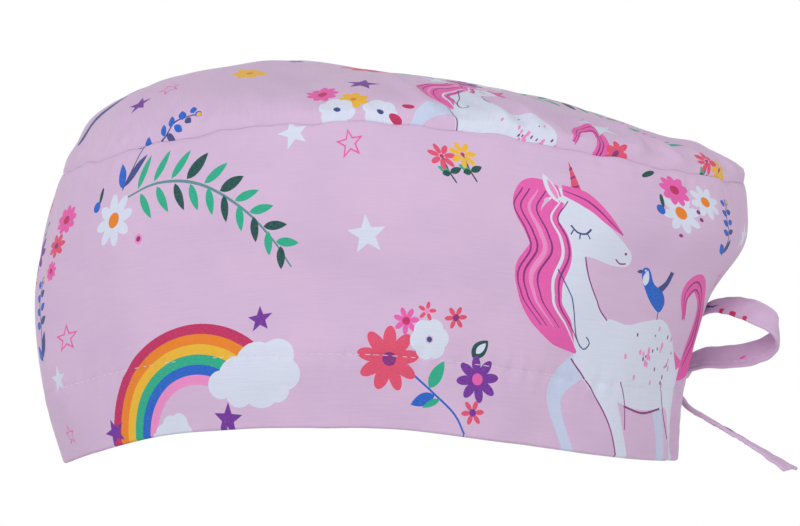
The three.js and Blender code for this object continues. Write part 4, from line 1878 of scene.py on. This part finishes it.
def node(
    tree: bpy.types.NodeTree, kind: str, inputs: dict[str | int, object], **settings: object
) -> bpy.types.Node:
    """Adds a shader node.

    Args:
        tree: the material's or world's tree.
        kind: the node's type.
        inputs: values, or sockets to join to, by input name or number.
        settings: the node's own properties.

    Returns:
        The node.
    """
    made = tree.nodes.new(kind)
    for name, value in settings.items():
        setattr(made, name, value)
    for name, value in inputs.items():
        if isinstance(value, bpy.types.NodeSocket):
            tree.links.new(value, made.inputs[name])
        else:
            made.inputs[name].default_value = value
    return made


def new_material(name: str) -> tuple[bpy.types.Material, bpy.types.NodeTree, bpy.types.Node]:
    """Starts a material.

    Args:
        name: its name.

    Returns:
        The material, its tree and its main shader.
    """
    made = bpy.data.materials.new(name)
    made.use_nodes = True
    return made, made.node_tree, made.node_tree.nodes["Principled BSDF"]


Scale = tuple[float, float, float]


@dataclass(frozen=True)
class CottonFinish:
    """Dyed plain-weave cotton, printed where the cloth says so.

    The scales of its threads are cycles for a millimetre, across, up and through.
    """

    name: str
    ground: str
    shade: str
    roughness: float = 0.88
    sheen: float = 0.18
    sheen_roughness: float = 0.45
    gloss: float = 0.25
    slub: float = 0.035
    weave_bump: float = 0.12
    weave_depth: float = 0.00025
    warp_share: float = 0.3
    weft: Scale = (0.09, 2.3, 1.0)
    warp: Scale = (2.6, 0.2, 1.0)
    fine_weft: Scale = (0.8, 4.6, 1.0)
    fine_warp: Scale = (4.6, 0.8, 1.0)
    mottle: Scale = (0.035, 0.05, 1.0)

    def streaks(
        self, tree: bpy.types.NodeTree, cloth: bpy.types.NodeSocket, scale: Scale
    ) -> bpy.types.NodeSocket:
        """Noise stretched along one thread direction.

        Args:
            tree: the material's tree.
            cloth: places on the cloth, in millimetres.
            scale: how fine it is each way.

        Returns:
            The noise's value.
        """
        threads = node(tree, "ShaderNodeMapping", {"Vector": cloth, "Scale": scale}, vector_type="POINT")
        noise = node(
            tree, "ShaderNodeTexNoise", {"Vector": threads.outputs[0], "Scale": 1.0, "Detail": 2.0}
        )
        return noise.outputs["Fac"]

    def material(self) -> bpy.types.Material:
        """Builds the shader.

        Returns:
            The material.
        """
        made, tree, shader = new_material(self.name)
        cloth = node(tree, "ShaderNodeAttribute", {}, attribute_name="cloth").outputs["Vector"]
        scales = (self.weft, self.warp, self.fine_weft, self.fine_warp, self.mottle)
        weft, warp, fine_weft, fine_warp, broad = (self.streaks(tree, cloth, scale) for scale in scales)
        slub = node(
            tree, "ShaderNodeMath", {0: warp, 1: self.warp_share, 2: weft}, operation="MULTIPLY_ADD"
        ).outputs[0]
        tone = node(
            tree, "ShaderNodeMapRange",
            {
                "Value": slub, "From Min": 0.35, "From Max": 0.95,
                "To Min": 1 - self.slub, "To Max": 1 + self.slub,
            },
        ).outputs[0]
        ground = node(
            tree, "ShaderNodeMix",
            {0: broad, 6: socket_colour(self.ground), 7: socket_colour(self.shade)},
            data_type="RGBA",
        ).outputs[2]
        dye = node(tree, "ShaderNodeAttribute", {}, attribute_name="print")
        cover = node(
            tree, "ShaderNodeMapRange",
            {"Value": fine_weft, "From Min": 0.3, "From Max": 0.6, "To Min": 0.9, "To Max": 1.0},
        ).outputs[0]
        printed = node(
            tree, "ShaderNodeMath", {0: dye.outputs["Alpha"], 1: cover}, operation="MULTIPLY"
        ).outputs[0]
        colour = node(
            tree, "ShaderNodeMix", {0: printed, 6: ground, 7: dye.outputs["Color"]}, data_type="RGBA"
        ).outputs[2]
        toned = node(
            tree, "ShaderNodeVectorMath", {0: colour, "Scale": tone}, operation="SCALE"
        ).outputs[0]
        tree.links.new(toned, shader.inputs["Base Color"])
        threads = node(tree, "ShaderNodeMath", {0: fine_weft, 1: fine_warp}, operation="ADD").outputs[0]
        relief = node(tree, "ShaderNodeMath", {0: threads, 1: slub}, operation="ADD").outputs[0]
        bumped = node(
            tree, "ShaderNodeBump",
            {"Height": relief, "Strength": self.weave_bump, "Distance": self.weave_depth},
        ).outputs[0]
        tree.links.new(bumped, shader.inputs["Normal"])
        shader.inputs["Roughness"].default_value = self.roughness
        shader.inputs["Sheen Weight"].default_value = self.sheen
        shader.inputs["Sheen Roughness"].default_value = self.sheen_roughness
        shader.inputs["Specular IOR Level"].default_value = self.gloss
        return made


@dataclass(frozen=True)
class ThreadFinish:
    """Spun sewing thread."""

    name: str
    colour: str
    roughness: float = 0.7
    sheen: float = 0.2
    hollow_shade: float = 0.8
    fibre_scale: float = 2600.0
    fibre_bump: float = 0.3
    fibre_depth: float = 0.0001

    def material(self) -> bpy.types.Material:
        """Builds the shader.

        Returns:
            The material.
        """
        made, tree, shader = new_material(self.name)
        place = node(tree, "ShaderNodeTexCoord", {}).outputs["Object"]
        noise = node(
            tree, "ShaderNodeTexNoise", {"Vector": place, "Scale": self.fibre_scale}
        ).outputs["Fac"]
        pale, deep = socket_colour(self.colour), socket_colour(self.colour, self.hollow_shade)
        mixed = node(tree, "ShaderNodeMix", {0: noise, 6: pale, 7: deep}, data_type="RGBA").outputs[2]
        tree.links.new(mixed, shader.inputs["Base Color"])
        bumped = node(
            tree, "ShaderNodeBump",
            {"Height": noise, "Strength": self.fibre_bump, "Distance": self.fibre_depth},
        )
        tree.links.new(bumped.outputs[0], shader.inputs["Normal"])
        shader.inputs["Roughness"].default_value = self.roughness
        shader.inputs["Sheen Weight"].default_value = self.sheen
        return made


# ---------------------------------------------------------------- the studio


@dataclass(frozen=True)
class Lamp:
    """A square soft lamp that faces the cap, with its place and side in metres and its watts."""

    name: str
    place: tuple[float, float, float]
    size: float
    power: float
    tint: tuple[float, float, float] = (1.0, 1.0, 1.0)
    target: tuple[float, float, float] = (0.0, 0.01, 0.06)

    def build(self) -> None:
        """Puts the lamp into the scene."""
        data = bpy.data.lights.new(self.name, "AREA")
        data.size, data.energy, data.color = self.size, self.power, self.tint
        lamp = bpy.data.objects.new(self.name, data)
        lamp.location = self.place
        aim = Vector(self.target) - Vector(self.place)
        lamp.rotation_euler = aim.to_track_quat("-Z", "Y").to_euler()
        bpy.context.scene.collection.objects.link(lamp)


@dataclass
class Studio:
    """A level camera at the wearer's left, a pale floor and soft light."""

    camera_place: tuple[float, float, float] = (1.3, 0.0115, 0.0646)
    lens: float = 178.7
    floor_z: float = -0.13
    floor_radius: float = 1.42
    floor_sides: int = 96
    floor_white: float = 0.9
    sky_low: float = 1.0
    sky_high: float = 0.36
    lamps: tuple[Lamp, ...] = (
        Lamp("key", (1.1, -0.5, 0.95), 0.7, 9.0, (0.92, 0.97, 1.0)),
        Lamp("fill", (0.5, 1.3, 0.5), 1.2, 3.6),
        Lamp("rear", (-1.2, -0.4, 0.8), 1.2, 3.0),
    )

    def build(self) -> None:
        """Makes the camera, the floor, the lamps and the world."""
        data = bpy.data.cameras.new("camera")
        data.lens, data.sensor_width = self.lens, 36.0
        data.clip_start, data.clip_end = 0.05, 50.0
        camera = bpy.data.objects.new("camera", data)
        camera.location = self.camera_place
        camera.rotation_euler = (math.radians(90), 0, math.radians(90))
        bpy.context.scene.collection.objects.link(camera)
        bpy.context.scene.camera = camera
        bpy.context.scene.view_settings.view_transform = "Standard"
        self.floor()
        for lamp in self.lamps:
            lamp.build()
        self.sky()

    def floor(self) -> None:
        """A round pale floor well below the cap."""
        a, r = wheel(self.floor_sides), self.floor_radius
        ring = np.column_stack((r * np.cos(a), r * np.sin(a), np.full(len(a), self.floor_z)))
        floor = new_object("floor", ring / MM, [list(range(self.floor_sides))])
        made, _, shader = new_material("floor_white")
        shader.inputs["Base Color"].default_value = (*[self.floor_white] * 3, 1)
        shader.inputs["Roughness"].default_value = 0.95
        floor.data.materials.append(made)
        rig.stage(floor)

    def sky(self) -> None:
        """White round the horizon and below it, softer overhead."""
        world = bpy.data.worlds.new("studio")
        bpy.context.scene.world = world
        world.use_nodes = True
        tree = world.node_tree
        up = node(tree, "ShaderNodeTexCoord", {}).outputs["Generated"]
        height = node(tree, "ShaderNodeSeparateXYZ", {0: up}).outputs["Z"]
        strength = node(
            tree, "ShaderNodeMapRange",
            {
                "Value": height, "From Min": 0.1, "From Max": 0.3,
                "To Min": self.sky_low, "To Max": self.sky_high,
            },
        ).outputs[0]
        background = tree.nodes["Background"]
        background.inputs["Color"].default_value = (1, 1, 1, 1)
        tree.links.new(strength, background.inputs["Strength"])


# ---------------------------------------------------------------- putting it together


def declare(
    made: bpy.types.Object, finish: bpy.types.Material, slot: str, stands_for: str | None = None
) -> None:
    """Dresses a piece, and says what body it rides on, its slot and what it stands for.

    Args:
        made: the piece.
        finish: its material.
        slot: the name of its slot.
        stands_for: the node that it replaces, or None for an added piece.
    """
    made.data.materials.append(finish)
    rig.ride(made, "root")
    if stands_for:
        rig.replaces(made, stands_for)
    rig.slot(made, slot)
    LOG.info("%s: %d faces", made.name, len(made.data.polygons))


@dataclass
class CapBody:
    """The band and the crown with their sewing."""

    cotton: CottonFinish = CottonFinish("printed_cotton", "dfbfdb", "d2b4d5")
    thread: ThreadFinish = ThreadFinish("pale_thread", "eee0ec")
    hem_ends: float = 3.0
    slit_inset: float = 5.0

    def build(self) -> None:
        band, crown = Band(), Crown()
        cotton = self.cotton.material()
        for panel, held in ((band, "folded"), (crown, "gathered")):
            made = panel.build()
            declare(made, cotton, "printed_cotton", panel.name.split("_")[0])
            edge = panel.cut()
            size = (edge.max(axis=0) - edge.min(axis=0)) * MM
            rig.sheet(made, flat=tuple(size), held=held, area=0.5 * twice_area(edge) * MM * MM)
        self.sew(band)

    def sew(self, band: Band) -> None:
        """Stitches along the hem and beside the slit.

        Args:
            band: the band that is sewn.
        """
        thread = self.thread.material()
        s = np.arange(-band.half + self.hem_ends, band.half - self.hem_ends, 1.0)
        t = np.arange(1.5, SLIT_HEIGHT - 1, 1.0)
        beside = np.full(len(t), band.half - self.slit_inset)
        rows = {
            "hem_stitches": [np.column_stack((s, np.full(len(s), HEM_HEIGHT)))],
            "slit_stitches": [np.column_stack((side * beside, t)) for side in (-1, 1)],
        }
        for name, lines in rows.items():
            made = Stitching(name).build([(band.outer(line), band.normals(line)[0]) for line in lines])
            declare(made, thread, "thread")


@dataclass
class Ties:
    """The tape that draws the hem in, tied in a bow behind."""

    cotton: CottonFinish = CottonFinish("tape_cotton", "dfbfdb", "d0b1d2")
    thread: ThreadFinish = ThreadFinish("tape_thread", "ead9ea")
    tail_length: float = 0.049

    def tapes(self) -> list[tuple[Tape, str]]:
        """Every stretch of tape, with the node that it stands for.

        Returns:
            The tapes and the names of their nodes.
        """
        return [
            (Tape("tail_left", route=TAIL_LEFT, scraps=TAIL_SCRAPS), "tie_tail_left"),
            (Tape("tail_right", route=TAIL_RIGHT, scraps=TAIL_SCRAPS), "tie_tail_right"),
            (Tape("loop_left", route=LOOP_LEFT, scraps=LOOP_SCRAPS), "bow_loop_left"),
            (Tape("loop_right", route=LOOP_RIGHT, scraps=LOOP_SCRAPS), "bow_loop_right"),
            (Tape("lead_left", route=LEAD_LEFT), "tie_lead_left"),
            (Tape("lead_right", route=LEAD_RIGHT), "tie_lead_right"),
        ]

    def build(self) -> None:
        cotton = self.cotton.material()
        sewn = []
        for tape, stands_for in self.tapes():
            made = tape.build()
            declare(made, cotton, "printed_tape", stands_for)
            if stands_for.startswith("tie_tail"):
                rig.cord(
                    made, exit=tape.path()[0], length=self.tail_length, diameter=tape.width * MM,
                    far_end="bare", stiffness="medium", lay="hanging", path=tape.path(),
                )
            if not stands_for.startswith("tie_lead"):
                a = np.arange(-tape.length / 2 + 6, tape.length / 2 - 2, 0.7)
                line = np.column_stack((a, np.full(len(a), tape.width / 2 - tape.thread_inset)))
                sewn.append((tape.outer(line), tape.normals(line)[0]))
        declare(Knot().build(), cotton, "printed_tape", "bow_knot")
        stitches = Stitching("tape_stitches", pitch=2.6, sewn=2.0, radius=0.14).build(sewn)
        declare(stitches, self.thread.material(), "thread")


# ---------------------------------------------------------------- where the print lies


DAISY = Flower(petals=8, radius=8.4, ink=Ink.CHALK, eye=Ink.ORANGE, eye_share=0.3, plump=0.44)
PINK_BLOOM = Flower(petals=9, radius=5.4, ink=Ink.ROSE, eye=Ink.BERRY, eye_share=0.3, plump=0.5)
CORAL_BLOOM = Flower(petals=7, radius=4.6, ink=Ink.CORAL, eye=Ink.PLUM, eye_share=0.24, plump=0.5)
GOLD_BLOOM = Flower(petals=7, radius=5.0, ink=Ink.AMBER, eye=Ink.ORANGE, eye_share=0.22, plump=0.62)
ROSE_STAR = Star(Ink.ROSE, 4.8, hollow=True)
CHALK_STAR = Star(Ink.CHALK, 6.4)
BUD = Spot(Ink.PLUM, 0.9)
BERRY = Bundle(
    (Placed(Spot(Ink.PINE, 0.9, 3.0), 1.6, 3.6, turn=84), Placed(Spot(Ink.COBALT, 1.9), 0, 0))
)
RAINBOW = Bundle(
    (Placed(Rainbow(), 0, 0), Placed(Cloud(30), 21, 22), Placed(Cloud(18), -13, 5))
)
MEADOW = Bundle(
    (
        Placed(DAISY, 0, 0), Placed(DAISY, 13, 6, size=0.8), Placed(PINK_BLOOM, 0, 9, size=1.15),
        Placed(BERRY, -9, 0), Placed(BUD, 8, 1.5), Placed(BUD, 8.5, -1.5), Placed(BUD, -2, -10),
        Placed(Sprig(24), 22, -16, turn=-4),
    )
)

# The left side, which has the big motifs at the height of the ear.
BAND_PRINT: list[Placed] = [
    Placed(RAINBOW, 96, -5.5),
    Placed(LeafyBranch(), 65, 77),
    Placed(DAISY, 62, 71),
    Placed(BERRY, 52, 77, size=0.9),
    Placed(Spot(Ink.BLUSH, 1.7), 74, 63),
    Placed(BUD, 74, 63),
    Placed(Sprig(34), 64, 80, turn=-16),
    Placed(PINK_BLOOM, 34, 76, stretch=1.3, size=0.85),
    Placed(CORAL_BLOOM, 31, 68, stretch=1.3, size=0.85),
    Placed(PINK_BLOOM, 30, 60, size=0.6),
    Placed(ROSE_STAR, 40, 37, stretch=1.3),
    Placed(ROSE_STAR, 31, 7, size=0.8),
    Placed(CHALK_STAR, 33, 25, size=0.7),
    Placed(ROSE_STAR, 145, 86, turn=12),
    Placed(Star(Ink.VIOLET, 4.2), 119, 33, turn=8),
    Placed(Star(Ink.VIOLET, 5.6), 108, 2.5, turn=-6),
    Placed(Star(Ink.VIOLET, 4.6), 59, 3.5, turn=14),
    Placed(CHALK_STAR, 151, 59, turn=6),
    Placed(CHALK_STAR, 126, 90, size=0.85, turn=20),
    Placed(Posy(), 162, 21, skew=-0.1),
    Placed(StemFlowers(), 172, 84, size=0.8, skew=-0.2),
    Placed(Unicorn(), 233, 41, skew=-0.4),
    Placed(Bird(), 248, 53.5, stretch=1.3, skew=-0.45),
    Placed(MEADOW, 248, 80, size=0.72, stretch=1.3, skew=-0.45),
    Placed(Spot(Ink.PINE, 0.9, 3.0), 235, 90, turn=30),
    Placed(CHALK_STAR, 292, 76, size=0.8),
    Placed(ROSE_STAR, 290, 60, size=0.8),
]

# The front and the right side carry the same motifs in another order.
BAND_PRINT += [
    Placed(Sprig(26), 24, 32, turn=6),
    Placed(Posy(), -14, 70, size=0.9),
    Placed(Star(Ink.VIOLET, 4.2), 6, 48, turn=20),
    Placed(CHALK_STAR, -22, 44, turn=10),
    Placed(StemFlowers((Ink.CORAL, Ink.AMBER, Ink.ROSE)), -12, 24),
    Placed(BERRY, 10, 12),
    Placed(ROSE_STAR, -4, 6, size=0.9),
    Placed(Unicorn(), -72, 41),
    Placed(Bird(), -50, 53),
    Placed(RAINBOW, -152, -4),
    Placed(LeafyBranch(), -186, 76),
    Placed(DAISY, -192, 70),
    Placed(Star(Ink.VIOLET, 4.6), -118, 34, turn=10),
    Placed(CHALK_STAR, -114, 62),
    Placed(ROSE_STAR, -106, 84, turn=14),
    Placed(StemFlowers(), -44, 84, size=0.9),
    Placed(Star(Ink.VIOLET, 5.0), -196, 4, turn=8),
    Placed(Posy(), -236, 22),
    Placed(StemFlowers(), -222, 82, size=0.9),
    Placed(Sprig(30), -204, 34, turn=4),
    Placed(CHALK_STAR, -232, 60, turn=14),
    Placed(ROSE_STAR, -256, 84),
    Placed(Star(Ink.VIOLET, 4.4), -250, 42, turn=12),
    Placed(MEADOW, -284, 74, size=0.9),
    Placed(ROSE_STAR, -284, 44, size=0.9, turn=20),
    Placed(Bird(), -268, 56, stretch=-1),
    Placed(CORAL_BLOOM, -278, 22),
    Placed(Star(Ink.VIOLET, 4.4), -292, 8),
]

# The crown, whose motifs stand upright as seen from the wearer's left on that side.
CROWN_PRINT: list[Placed] = [
    Placed(Spot(Ink.NAVY, 1.9, 6.4), 20, -70, turn=87),
    Placed(Sprig(22), 14, -56, turn=96),
    Placed(Star(Ink.VIOLET, 4.6), 38, -54, turn=70),
    Placed(ROSE_STAR, 37, -43, size=0.9, turn=100),
    Placed(Sprig(24), 63, -58, turn=10),
    Placed(GOLD_BLOOM, 33, -16, size=1.2),
    Placed(PINK_BLOOM, 64, 9),
    Placed(GOLD_BLOOM, 70, 19),
    Placed(CHALK_BLOOM, 75, 13),
    Placed(replace(CHALK_BLOOM, radius=5.6), 76, 27),
    Placed(Spot(Ink.BERRY, 1.3, 2.0), 78, 32, turn=60),
    Placed(Spot(Ink.BERRY, 1.0, 2.0), 73, 36, turn=80),
    Placed(Star(Ink.VIOLET, 5.4), 56, 22, turn=80),
    Placed(Unicorn(), 62, 60, turn=75, size=0.75),
    Placed(CORAL_BLOOM, 62, 105),
    Placed(CHALK_STAR, 52, 96, size=1.2, turn=60),
    Placed(StemFlowers(), 36, 134, turn=110, size=0.9),
    Placed(RAINBOW, -8, -40, turn=84, size=0.8),
    Placed(Posy(), 14, 22, turn=80),
    Placed(LeafyBranch(), 20, 66, turn=96, size=0.9),
    Placed(DAISY, 14, 62),
    Placed(CHALK_STAR, 36, 44, turn=30),
    Placed(ROSE_STAR, 10, 52, turn=60),
    Placed(Star(Ink.VIOLET, 5.0), -14, 70, turn=30),
    Placed(Unicorn(), -32, 22, turn=84, size=0.9),
    Placed(Posy(), -52, -58, turn=76, size=0.9),
    Placed(CHALK_STAR, -24, -76, turn=40),
    Placed(StemFlowers(), -60, 66, turn=70),
    Placed(ROSE_STAR, -66, 40, turn=10),
    Placed(MEADOW, -30, 100, turn=80),
    Placed(Star(Ink.VIOLET, 5.0), -44, 128, turn=20),
    Placed(CHALK_STAR, 4, 138, turn=15),
    Placed(ROSE_STAR, 24, 112, turn=70),
    Placed(Bird(), 2, 118, turn=90),
    Placed(CORAL_BLOOM, -70, 0),
    Placed(Star(Ink.VIOLET, 4.6), 8, -2, turn=50),
]

# Scraps of the print that lie where the tape was cut from it.
TAIL_SCRAPS: list[Placed] = [
    Placed(Spot(Ink.NAVY, 0.9, 2.6), -1, 1.5, turn=20),
    Placed(Spot(Ink.MIST, 0.7, 2.2), 2, -2.5, turn=-30),
    Placed(Spot(Ink.BERRY, 0.5, 1.8), -13, 2.8),
]
LOOP_SCRAPS: list[Placed] = [
    Placed(Spot(Ink.NAVY, 0.45, 11.0), -22, 2.6, turn=-12),
    Placed(Spot(Ink.NAVY, 0.45, 9.0), -24, 0.4, turn=26),
    Placed(Spot(Ink.BERRY, 0.45, 2.6), -14, 3.7),
    Placed(Spot(Ink.BERRY, 0.45, 3.0), -9, 3.8),
    Placed(Spot(Ink.BERRY, 0.4, 2.2), -4, 3.8),
    Placed(Flower(petals=5, radius=3.6, ink=Ink.BERRY, eye=Ink.PLUM), 8, -3.4),
    Placed(Spot(Ink.ROSE, 0.6, 2.0), 24, 1.0, turn=30),
]


def main() -> None:
    """Builds the cap in its studio."""
    logging.basicConfig(level=logging.INFO, format="%(message)s")
    Studio().build()
    Ties().build()
    CapBody().build()
    sizes = {"cad": CAD_BOX, "visual": [list(corner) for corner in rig.bounds()]}
    with open("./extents.json", "w") as file:
        json.dump(sizes, file)


if __name__ == "__main__":
    main()
